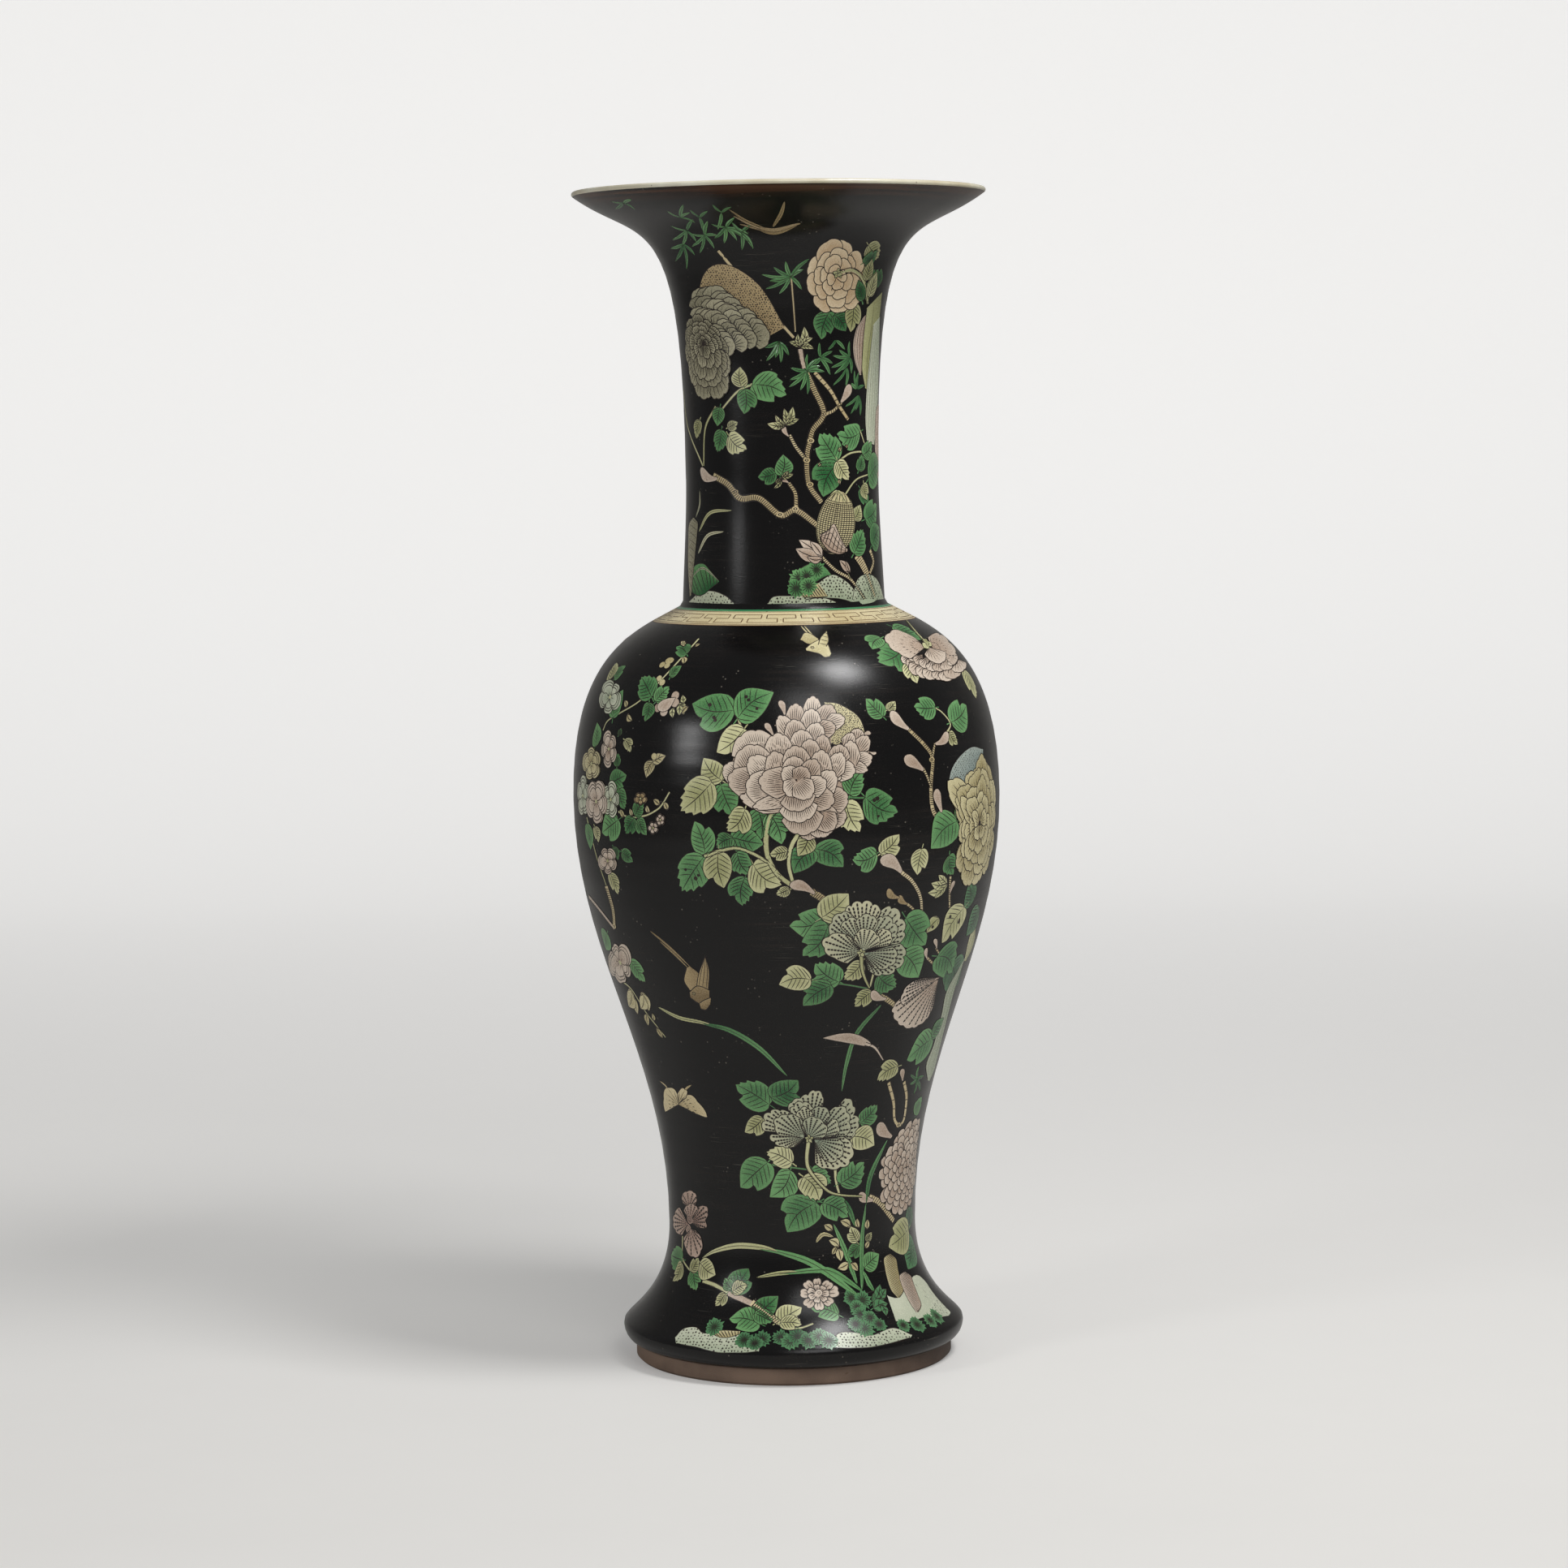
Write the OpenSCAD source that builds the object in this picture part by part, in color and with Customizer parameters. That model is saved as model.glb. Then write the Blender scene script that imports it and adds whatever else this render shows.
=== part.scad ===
// Yen yen vase: a tall porcelain vase with a trumpet neck, a high full shoulder and a spread foot.
// It is thrown in four sections, which are luted together with slip and set on a turned foot ring,
// then glazed inside and coated outside with black enamel.
// The outside is one chain of curves, and every wall, coat and joint is worked out from that chain.
// All sizes are in millimetres. The vase stands on z = 0 and turns round the z axis.

/* [Overall] */
// Height from the table to the top of the lip
vase_h = 700; // [640:1:780]
// Straight steps that stand for each curve of the outline
curve_steps = 18; // [10:1:36]

/* [Neck] */
// How far the lip stays inside the radius of the belly
lip_inset = 5; // [-5:0.5:20]
// Thickness of the lip, coats included
lip_t = 3; // [2:0.1:5]
// Slope of the flare at the lip, measured from level
lip_angle = 36; // [25:1:50]
// How long the flare keeps the slope of the lip, as a share of its spread
lip_fullness = 0.79; // [0.5:0.01:0.85]
// How long the neck stays upright below the flare, as a share of its rise
neck_fullness = 1; // [0.6:0.01:1]
// Outer radius at the narrowest place of the neck
neck_r = 57.5; // [48:0.5:60]
// Height of the narrowest place of the neck
neck_z = 530; // [500:1:560]
// Outer radius where the neck meets the shoulder
neck_foot_r = 60.5; // [56:0.5:68]
// Height where the neck meets the shoulder
neck_foot_z = 455; // [440:1:475]

/* [Body] */
// Slope of the shoulder where it meets the neck, measured from level
shoulder_angle = 30; // [20:1:40]
// How long the shoulder keeps that slope, as a share of its spread
shoulder_fullness = 0.43; // [0.3:0.01:0.55]
// How high the belly stays upright, as a share of the shoulder's rise
belly_fullness_up = 0.79; // [0.6:0.01:0.85]
// Outer radius of the belly
belly_r = 128; // [112:0.5:140]
// Height of the widest place of the belly
belly_z = 340; // [315:1:360]
// How far down the belly stays upright, as a share of the lower body's rise
belly_fullness_down = 0.37; // [0.25:0.01:0.5]
// How high the waist stays upright, as a share of the lower body's rise
waist_fullness_up = 0.4; // [0.25:0.01:0.5]
// Outer radius of the waist
waist_r = 74.5; // [66:0.5:84]
// Height of the waist
waist_z = 81; // [72:1:90]

/* [Foot] */
// How far down the waist stays upright, as a share of the foot's rise
waist_fullness_down = 0.71; // [0.5:0.01:0.8]
// How upright the rolled edge starts, as a share of the foot's rise
edge_fullness = 0.08; // [0.02:0.01:0.2]
// How far the rolled edge reaches out past the foot ring
edge_reach = 7.5; // [4:0.5:14]
// Height of the widest place of the rolled edge
edge_z = 20.5; // [17:0.5:26]
// How flat the underside of the rolled edge runs out, as a share of its overhang
roll_fullness = 0.6; // [0.3:0.05:0.8]
// Outer radius of the foot ring
ring_r = 95.5; // [90:0.5:108]
// Width of the foot ring
ring_w = 14; // [8:0.5:18]
// Height of the foot ring
ring_h = 10; // [6:0.5:14]
// Bevel along the edges that the foot ring stands on
ring_bevel = 1.5; // [0.5:0.1:3]
// Thickness of the floor inside the foot
floor_t = 10; // [6:0.5:16]

/* [Walls] */
// Wall at the waist, with its outer coat
waist_wall = 9; // [6:0.5:12]
// Wall at the belly, with its outer coat
belly_wall = 8; // [5:0.5:12]
// Wall at the neck foot, with its outer coat
neck_wall = 6; // [4:0.5:9]

/* [Joints] */
// Thickness of the slip in each joint
slip_t = 1.5; // [0.8:0.1:3]
// Height of the joint between neck and shoulder, above the neck foot
neck_seam_up = 6; // [3:0.5:15]
// Height of the joint below the belly
belly_seam_z = 280; // [220:1:300]
// Height of the joint between body and foot, above the waist
waist_seam_up = 16; // [6:1:40]

/* [Coats] */
// Thickness of the enamel on the outside
enamel_t = 0.4; // [0.2:0.05:0.8]
// Thickness of the clear glaze inside and under the base
glaze_t = 0.4; // [0.2:0.05:0.8]
// Drop of the black groove from the neck foot to the green line
groove_drop = 1.2; // [0.6:0.1:3]
// Drop of the green line
green_drop = 1; // [0.5:0.1:2]
// Drop of the key fret band
band_drop = 7.6; // [4:0.1:12]

/* [Hidden] */

turn_steps = 144;
bead_steps = 12;

porcelain = "#e6e0d2";
slip_clay = "#cfc6b4";
biscuit = "#a58e76";
black_enamel = "#1d1a19";
green_enamel = "#2f7d4c";
yellow_enamel = "#e3cd8d";
pale_glaze = "#e9ead9";
clear_glaze = "#dfe3d6";

// Heights and radii that follow from the driving sizes
lip_r = belly_r - lip_inset;
edge_r = ring_r + edge_reach;
floor_z = ring_h + floor_t;
ring_in_r = ring_r - ring_w;
base_r = ring_in_r - slip_t;
neck_seam_z = neck_foot_z + neck_seam_up;
waist_seam_z = waist_z + waist_seam_up;
green_top_z = neck_foot_z - groove_drop;
band_top_z = green_top_z - green_drop;
band_bottom_z = band_top_z - band_drop;

// A point on a curve that four control points pull
function curve_point(c, t) =
    pow(1 - t, 3) * c[0] + 3 * t * pow(1 - t, 2) * c[1] + 3 * t * t * (1 - t) * c[2] + t * t * t * c[3];

// The points of a curve without its first one, which the curve before it already gives
function curve_on(c) = [for (i = [1:curve_steps]) curve_point(c, i / curve_steps)];

function level_dir(angle) = [cos(angle), sin(angle)];
function back(line) = [for (i = [len(line) - 1:-1:0]) line[i]];

// The unit direction square to a step of a line, towards the axis of the vase
function inward(a, b) = let (d = (b - a) / norm(b - a)) [-d[1], d[0]];

// The direction in which a corner of a line moves so that both its steps move by one
function corner_dir(line, i) =
    let (
        before = i > 0 ? inward(line[i - 1], line[i]) : inward(line[0], line[1]),
        after = i < len(line) - 1 ? inward(line[i], line[i + 1]) : before
    )
    (before + after) / (1 + before * after);

// A line that runs beside another, at one depth
function inset(line, depth) = [for (i = [0:len(line) - 1]) line[i] + depth * corner_dir(line, i)];

// The point of a rising line at a height
function at_height(line, z) =
    let (
        i = [for (k = [0:len(line) - 2]) if (line[k][1] <= z && z < line[k + 1][1]) k][0],
        share = (z - line[i][1]) / (line[i + 1][1] - line[i][1])
    )
    line[i] + share * (line[i + 1] - line[i]);

// The stretches of a rising line above, below and between heights
function above(line, z) = concat([at_height(line, z)], [for (p = line) if (p[1] > z) p]);
function below(line, z) = concat([for (p = line) if (p[1] < z) p], [at_height(line, z)]);
function between(line, z0, z1) = above(below(line, z1), z0);

// Where the flare ends, so that the rounded lip just reaches the height and the radius of the vase
lip_end = [
    lip_r - lip_t / 2 * (1 - sin(lip_angle)),
    vase_h - lip_t / 2 * (1 + cos(lip_angle))
];
edge_start = [ring_r, ring_h];
edge = [edge_r, edge_z];
waist = [waist_r, waist_z];
belly = [belly_r, belly_z];
neck_foot = [neck_foot_r, neck_foot_z];
neck_waist = [neck_r, neck_z];

// The curves of the outside, from the foot ring to the lip
edge_roll = [
    edge_start,
    edge_start + roll_fullness * [edge_r - ring_r, (edge_z - ring_h) / 6],
    edge - [0, roll_fullness * (edge_z - ring_h)],
    edge
];
foot_curve = [
    edge,
    edge + [0, edge_fullness * (waist_z - edge_z)],
    waist - [0, waist_fullness_down * (waist_z - edge_z)],
    waist
];
lower_body_curve = [
    waist,
    waist + [0, waist_fullness_up * (belly_z - waist_z)],
    belly - [0, belly_fullness_down * (belly_z - waist_z)],
    belly
];
shoulder_curve = [
    belly,
    belly + [0, belly_fullness_up * (neck_foot_z - belly_z)],
    neck_foot - shoulder_fullness * (belly_r - neck_foot_r) * level_dir(180 - shoulder_angle),
    neck_foot
];
lower_neck_curve = [
    neck_foot,
    neck_foot + (neck_waist - neck_foot) / 3,
    neck_waist - [0, (neck_z - neck_foot_z) / 3],
    neck_waist
];
flare_curve = [
    neck_waist,
    neck_waist + [0, neck_fullness * (lip_end[1] - neck_z)],
    lip_end - lip_fullness * (lip_end[0] - neck_r) * level_dir(lip_angle),
    lip_end
];

// The finished outside, and the porcelain under its coat
outside = concat(
    [edge_start],
    curve_on(edge_roll),
    curve_on(foot_curve),
    curve_on(lower_body_curve),
    curve_on(shoulder_curve),
    curve_on(lower_neck_curve),
    curve_on(flare_curve)
);
body_face = inset(outside, enamel_t);

// The wall grows from the lip to the waist
function wall_at(z) = lookup(z, [
    [waist_z, waist_wall],
    [belly_z, belly_wall],
    [neck_foot_z, neck_wall],
    [lip_end[1], lip_t - glaze_t]
]);

// The inside of the foot spreads from the waist down to the floor
waist_inside = waist - [waist_wall, 0];
floor_corner = [ring_in_r, floor_z];
foot_inside_curve = [
    floor_corner,
    floor_corner + [0, (waist_z - floor_z) / 5],
    waist_inside - [0, 3 * (waist_z - floor_z) / 5],
    waist_inside
];

// The porcelain inside, and the face of the glaze on it
bore_face = concat(
    [floor_corner],
    curve_on(foot_inside_curve),
    [for (i = [0:len(outside) - 1]) if (outside[i][1] > waist_z + 0.01)
        outside[i] + wall_at(outside[i][1]) * corner_dir(outside, i)]
);
floor_and_bore = concat([[0, floor_z]], bore_face);
glaze_face = inset(floor_and_bore, glaze_t);

// A solid turned round the axis, between an outer line and an inner line that both rise
module turned(outer, inner) {
    rotate_extrude($fn = turn_steps) polygon(concat(outer, back(inner)));
}

// A ring of slip that fills the joint at a height
module slip_ring(z) {
    low = z - slip_t / 2;
    high = z + slip_t / 2;
    color(slip_clay) turned(between(body_face, low, high), between(bore_face, low, high));
}

module neck_section() {
    low = neck_seam_z + slip_t / 2;
    color(porcelain) turned(above(body_face, low), above(bore_face, low));
}

module shoulder_section() {
    low = belly_seam_z + slip_t / 2;
    high = neck_seam_z - slip_t / 2;
    color(porcelain) turned(between(body_face, low, high), between(bore_face, low, high));
}

module lower_body_section() {
    low = waist_seam_z + slip_t / 2;
    high = belly_seam_z - slip_t / 2;
    color(porcelain) turned(between(body_face, low, high), between(bore_face, low, high));
}

// The foot stands on the ring and holds the floor inside its lower edge
module foot_section() {
    high = waist_seam_z - slip_t / 2;
    outer = concat([[ring_in_r, ring_h], edge_start], below(body_face, high));
    color(porcelain) turned(outer, below(bore_face, high));
}

module foot_ring() {
    color(biscuit) rotate_extrude($fn = turn_steps) polygon([
        [ring_in_r + ring_bevel, 0],
        [ring_r - ring_bevel, 0],
        [ring_r, ring_bevel],
        [ring_r, ring_h],
        [ring_in_r, ring_h],
        [ring_in_r, ring_bevel]
    ]);
}

module base_disc() {
    color(porcelain) translate([0, 0, ring_h]) cylinder(r = base_r, h = floor_t, $fn = turn_steps);
}

module neck_slip() {
    slip_ring(neck_seam_z);
}

module belly_slip() {
    slip_ring(belly_seam_z);
}

module waist_slip() {
    slip_ring(waist_seam_z);
}

module base_slip() {
    color(slip_clay) rotate_extrude($fn = turn_steps)
        translate([base_r, ring_h]) square([slip_t, floor_t]);
}

module neck_ground() {
    color(black_enamel) turned(above(outside, green_top_z), above(body_face, green_top_z));
}

module body_ground() {
    color(black_enamel) turned(below(outside, band_bottom_z), below(body_face, band_bottom_z));
}

module green_line() {
    color(green_enamel)
        turned(between(outside, band_top_z, green_top_z), between(body_face, band_top_z, green_top_z));
}

module key_fret_band() {
    color(yellow_enamel)
        turned(between(outside, band_bottom_z, band_top_z), between(body_face, band_bottom_z, band_top_z));
}

// The lip is a round bead on the slanting end of the wall and of both its coats
module lip_glaze() {
    ends = [for (line = [outside, body_face, bore_face, glaze_face]) line[len(line) - 1]];
    middle = (ends[0] + ends[3]) / 2;
    spoke = ends[3] - middle;
    along = [spoke[1], -spoke[0]];
    bead = [for (i = [1:bead_steps - 1])
        middle + cos(180 * i / bead_steps) * spoke + sin(180 * i / bead_steps) * along];
    color(pale_glaze) rotate_extrude($fn = turn_steps) polygon(concat(ends, bead));
}

module inner_glaze() {
    color(clear_glaze) turned(floor_and_bore, glaze_face);
}

module base_glaze() {
    color(clear_glaze) translate([0, 0, ring_h - glaze_t])
        cylinder(r = ring_in_r, h = glaze_t, $fn = turn_steps);
}

neck_section();
shoulder_section();
lower_body_section();
foot_section();
foot_ring();
base_disc();
neck_slip();
belly_slip();
waist_slip();
base_slip();
neck_ground();
body_ground();
green_line();
key_fret_band();
lip_glaze();
inner_glaze();
base_glaze();
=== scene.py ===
import math
from functools import lru_cache

import bpy
import numpy as np
from mathutils import Matrix, Vector


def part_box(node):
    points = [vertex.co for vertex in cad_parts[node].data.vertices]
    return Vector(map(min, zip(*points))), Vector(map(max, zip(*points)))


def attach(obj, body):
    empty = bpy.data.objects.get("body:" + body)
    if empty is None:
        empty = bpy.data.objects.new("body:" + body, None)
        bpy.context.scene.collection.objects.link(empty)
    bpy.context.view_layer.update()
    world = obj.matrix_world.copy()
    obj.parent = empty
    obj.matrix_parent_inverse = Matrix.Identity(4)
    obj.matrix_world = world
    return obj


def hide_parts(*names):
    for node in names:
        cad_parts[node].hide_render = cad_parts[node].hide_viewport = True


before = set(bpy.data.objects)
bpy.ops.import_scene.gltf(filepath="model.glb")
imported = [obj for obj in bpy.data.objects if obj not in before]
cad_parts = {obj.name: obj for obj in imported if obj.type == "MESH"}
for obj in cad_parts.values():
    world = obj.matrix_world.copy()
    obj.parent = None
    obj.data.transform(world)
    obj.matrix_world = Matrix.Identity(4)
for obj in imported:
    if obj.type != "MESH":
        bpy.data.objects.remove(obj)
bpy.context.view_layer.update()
print("frame loaded")

# Yen yen vase. Lengths on the vase are in millimetres: theta runs round it from the front
# towards +X, s runs up its outline, and lift is the height of a coat above the black ground.

camera = {
    "photoSize": 1932,
    "lens": 96.0,
    "sensor": 36.0,
    "place": (-1.4, -2505.0, 567.0),
    "tilt": 5.044,
    "roll": 0.78,
    "reach": (2340, 2520),
    "steps": 400,
    "halvings": 22,
}


def cameraAxes():
    tilt, roll = math.radians(camera["tilt"]), math.radians(camera["roll"])
    ahead = np.array([0, math.cos(tilt), -math.sin(tilt)])
    right = np.array([1.0, 0, 0])
    up = np.array([0, math.sin(tilt), math.cos(tilt)])
    c, s = math.cos(roll), math.sin(roll)
    return right * c - up * s, right * s + up * c, ahead


def addObject(name, data):
    piece = bpy.data.objects.new(name, data)
    bpy.context.scene.collection.objects.link(piece)
    return piece


def makeCamera():
    data = bpy.data.cameras.new("photoCamera")
    data.lens = camera["lens"]
    data.sensor_width = camera["sensor"]
    data.clip_end = 50
    view = addObject("photoCamera", data)
    right, up, ahead = cameraAxes()
    matrix = Matrix.Identity(4)
    for row in range(3):
        matrix[row][0], matrix[row][1], matrix[row][2] = right[row], up[row], -ahead[row]
        matrix[row][3] = camera["place"][row] / 1000
    view.matrix_world = matrix
    bpy.context.scene.camera = view


makeCamera()

# The outline, read from the outer faces of the enamel coats in the frame.

outline = {
    "nodes": ("body_ground", "key_fret_band", "green_line", "neck_ground"),
    "samples": 4000,
    "cornerDegrees": 18,
    "facing": 0.05,
    "spread": 0.7,
    "apart": 0.12,
}


def outerRings(node):
    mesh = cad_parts[node].data
    mesh.calc_loop_triangles()
    points = np.empty(len(mesh.vertices) * 3, np.float32)
    mesh.vertices.foreach_get("co", points)
    points = points.reshape(-1, 3).astype(float) * 1000
    corners = np.empty(len(mesh.loop_triangles) * 3, np.int32)
    mesh.loop_triangles.foreach_get("vertices", corners)
    corners = corners.reshape(-1, 3)
    tri = points[corners]
    normal = np.cross(tri[:, 1] - tri[:, 0], tri[:, 2] - tri[:, 0])
    normal /= np.linalg.norm(normal, axis=1, keepdims=True) + 1e-12
    middle = tri.mean(1)
    radial = (normal[:, :2] * middle[:, :2]).sum(1) / np.hypot(middle[:, 0], middle[:, 1])
    ring = np.stack([np.hypot(tri[..., 0], tri[..., 1]), tri[..., 2]], -1)
    spread = np.hypot(*np.ptp(ring, axis=1).T)
    kept = ring[(radial > outline["facing"]) & (spread > outline["spread"])].reshape(-1, 2)
    return np.unique(np.round(kept, 3), axis=0)


def stepLengths(points):
    return np.hypot(*np.diff(points, axis=0).T)


def distances(points):
    return np.r_[0, np.cumsum(stepLengths(points))]


def smoothOutline():
    # Cubic pieces between the rings, each with the slope of its neighbours, broken at a corner.
    rings = np.concatenate([outerRings(node) for node in outline["nodes"]])
    rings = rings[np.argsort(rings[:, 1])]
    keep = np.r_[True, stepLengths(rings) > outline["apart"]]
    rings = rings[keep]
    step = np.diff(rings, axis=0)
    heading = np.unwrap(np.arctan2(step[:, 1], step[:, 0]))
    corner = np.where(np.abs(np.diff(heading)) > math.radians(outline["cornerDegrees"]))[0] + 1
    edges = [0, *corner, len(rings) - 1]
    out = []
    for first, last in zip(edges[:-1], edges[1:]):
        part = rings[first:last + 1]
        along = distances(part)
        slope = np.gradient(part, along, axis=0, edge_order=2 if len(part) > 2 else 1)
        t = np.linspace(0, along[-1], max(24, int(along[-1] * 4)))
        k = np.clip(np.searchsorted(along, t, side="right") - 1, 0, len(along) - 2)
        h = (along[k + 1] - along[k])[:, None]
        x = ((t - along[k])[:, None]) / h
        out.append((1 + 2 * x) * (1 - x) ** 2 * part[k] + x * (1 - x) ** 2 * h * slope[k]
                   + x * x * (3 - 2 * x) * part[k + 1] + x * x * (x - 1) * h * slope[k + 1])
    line = np.concatenate(out)
    line = line[np.r_[True, stepLengths(line) > 1e-4]]
    far = distances(line)
    even = np.linspace(0, far[-1], outline["samples"])
    return even, np.interp(even, far, line[:, 0]), np.interp(even, far, line[:, 1])


sTable, rTable, zTable = smoothOutline()
outR = np.gradient(zTable, sTable)
outZ = -np.gradient(rTable, sTable)
length = np.hypot(outR, outZ)
outR, outZ = outR / length, outZ / length


def radiusAt(s):
    return np.interp(s, sTable, rTable)


def sAtHeight(z):
    return np.interp(z, zTable, sTable)


def onVase(theta, s, lift=0.0):
    theta, s, lift = np.broadcast_arrays(theta, s, lift)
    r = np.interp(s, sTable, rTable) + lift * np.interp(s, sTable, outR)
    z = np.interp(s, sTable, zTable) + lift * np.interp(s, sTable, outZ)
    return np.stack([r * np.sin(theta), -r * np.cos(theta), z], -1)


def spotsAt(pixels):
    # Where the sight line of each photo pixel meets the vase; a line that misses takes its nearest pass.
    pixels = np.atleast_2d(np.asarray(pixels, float))
    right, up, ahead = cameraAxes()
    focal = camera["lens"] / camera["sensor"] * camera["photoSize"]
    half = camera["photoSize"] / 2
    ray = (ahead + right * ((pixels[:, :1] - half) / focal) + up * ((half - pixels[:, 1:]) / focal))
    place = np.array(camera["place"])

    def gapAt(p):
        return np.hypot(p[..., 0], p[..., 1]) - np.interp(p[..., 2], zTable, rTable)

    steps = np.linspace(*camera["reach"], camera["steps"])
    gap = gapAt(place + ray[:, None] * steps[:, None])
    hit = gap <= 0
    found = hit.any(1)
    k = np.where(found, np.maximum(hit.argmax(1), 1), gap.argmin(1).clip(1))
    low, high = steps[k - 1], steps[k]
    for _ in range(camera["halvings"]):
        middle = (low + high) / 2
        inside = gapAt(place + ray * middle[:, None]) <= 0
        high = np.where(inside, middle, high)
        low = np.where(inside, low, middle)
    t = np.where(found, (low + high) / 2, steps[k])
    p = place + ray * t[:, None]
    return np.arctan2(p[:, 0], -p[:, 1]), sAtHeight(p[:, 2])


def gridSpots(pixels):
    # The same for a grid of pixels of any shape.
    theta, s = spotsAt(pixels.reshape(-1, 2))
    return theta.reshape(pixels.shape[:-1]), s.reshape(pixels.shape[:-1])


print("outline", round(float(sTable[-1]), 1), "mm long,", round(float(rTable.max()), 1), "mm widest")

# Colours are given as they look, 0 to 255, and turned into the renderer's own scale.


def look(red, green, blue):
    c = np.array([red, green, blue]) / 255
    c = np.where(c <= 0.04045, c / 12.92, ((c + 0.055) / 1.055) ** 2.4)
    return (*c.tolist(), 1.0)


def feed(tree, socket, value):
    if isinstance(value, bpy.types.NodeSocket):
        tree.links.new(value, socket)
    else:
        socket.default_value = value


def addNode(tree, kind, links=None, **settings):
    node = tree.nodes.new(kind)
    for key, value in settings.items():
        setattr(node, key, value)
    for key, value in (links or {}).items():
        feed(tree, node.inputs[key], value)
    return node


def mixColour(tree, factor, a, b):
    node = addNode(tree, "ShaderNodeMix", data_type="RGBA")
    for number, value in ((0, factor), (6, a), (7, b)):
        feed(tree, node.inputs[number], value)
    return node.outputs[2]


def remap(tree, value, a, b, low=0.0, high=1.0):
    node = addNode(tree, "ShaderNodeMapRange", {"Value": value, "From Min": a, "From Max": b,
                                                "To Min": low, "To Max": high})
    return node.outputs[0]


def combine(tree, operation, a, b=0.0):
    return addNode(tree, "ShaderNodeMath", {0: a, 1: b}, operation=operation).outputs[0]


kiln = {
    "cloud": 16,
    "grain": 1300,
    "wheel": (14, 14, 520),
    "pits": 260,
    "pitPatches": 60,
    "scratch": (40, 40, 1300),
    "scratchTurns": ((0.3, 0.24, 0.0), (0.2, 0.85, 0.1)),
    "chip": look(40, 33, 28),
    "stain": look(84, 62, 46),
}


def makeKilnGroup():
    # Cloud: slow unevenness. Grain: pear-skin of the fired coat. Wheel: level turning streaks.
    # Speck: sparse pinholes and nicks. Scratch: thin crossing wear lines.
    group = bpy.data.node_groups.new("kilnMarks", "ShaderNodeTree")
    names = ("Cloud", "Grain", "Wheel", "Speck", "Scratch", "Height")
    for name in names:
        group.interface.new_socket(name, in_out="OUTPUT", socket_type="NodeSocketFloat")
    out = group.nodes.new("NodeGroupOutput")
    place = addNode(group, "ShaderNodeTexCoord").outputs["Object"]
    apart = addNode(group, "ShaderNodeSeparateXYZ", {0: place})
    cloud = addNode(group, "ShaderNodeTexNoise", {"Vector": place, "Scale": kiln["cloud"], "Detail": 4})
    grain = addNode(group, "ShaderNodeTexNoise", {"Vector": place, "Scale": kiln["grain"], "Detail": 2})
    flat = addNode(group, "ShaderNodeMapping", {"Vector": place, "Scale": kiln["wheel"]})
    wheel = addNode(group, "ShaderNodeTexNoise", {"Vector": flat.outputs[0], "Scale": 1, "Detail": 3})
    pits = addNode(group, "ShaderNodeTexVoronoi", {"Vector": place, "Scale": kiln["pits"]})
    rare = addNode(group, "ShaderNodeTexNoise", {"Vector": place, "Scale": kiln["pitPatches"], "Detail": 1})
    nearPit = remap(group, pits.outputs["Distance"], 0.16, 0.07)
    speck = combine(group, "MULTIPLY", nearPit, remap(group, rare.outputs[0], 0.57, 0.66))
    runs = []
    for turn in kiln["scratchTurns"]:
        lean = addNode(group, "ShaderNodeMapping",
                       {"Vector": place, "Scale": kiln["scratch"], "Rotation": turn})
        line = addNode(group, "ShaderNodeTexNoise", {"Vector": lean.outputs[0], "Scale": 1, "Detail": 2})
        runs.append(remap(group, line.outputs[0], 0.68, 0.75))
    scratch = combine(group, "MULTIPLY", combine(group, "MAXIMUM", *runs),
                      remap(group, cloud.outputs[0], 0.5, 0.66))
    for name, value in zip(names, (cloud.outputs[0], grain.outputs[0], wheel.outputs[0], speck, scratch,
                                   apart.outputs["Z"])):
        group.links.new(value, out.inputs[name])
    return group


kilnMarks = makeKilnGroup()


def startMaterial(name):
    material = bpy.data.materials.new(name)
    material.use_nodes = True
    tree = material.node_tree
    shader = tree.nodes["Principled BSDF"]
    marks = addNode(tree, "ShaderNodeGroup", node_tree=kilnMarks).outputs
    return material, tree, shader, marks


def setBump(tree, shader, height, strength, distance):
    bump = addNode(tree, "ShaderNodeBump", {"Height": height, "Strength": strength, "Distance": distance})
    tree.links.new(bump.outputs[0], shader.inputs["Normal"])


ground = {
    "black": look(14, 13, 13),
    "brown": look(34, 28, 25),
    "pale": look(140, 134, 122),
    # Lip colour and height band: a painted reflection, brown streaks just under the lip.
    "lipSheenBrown": look(92, 62, 46),
    "lipSheenBand": (0.690, 0.6975),
    "dust": 1300,
    "gloss": 0.15,
}


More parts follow.
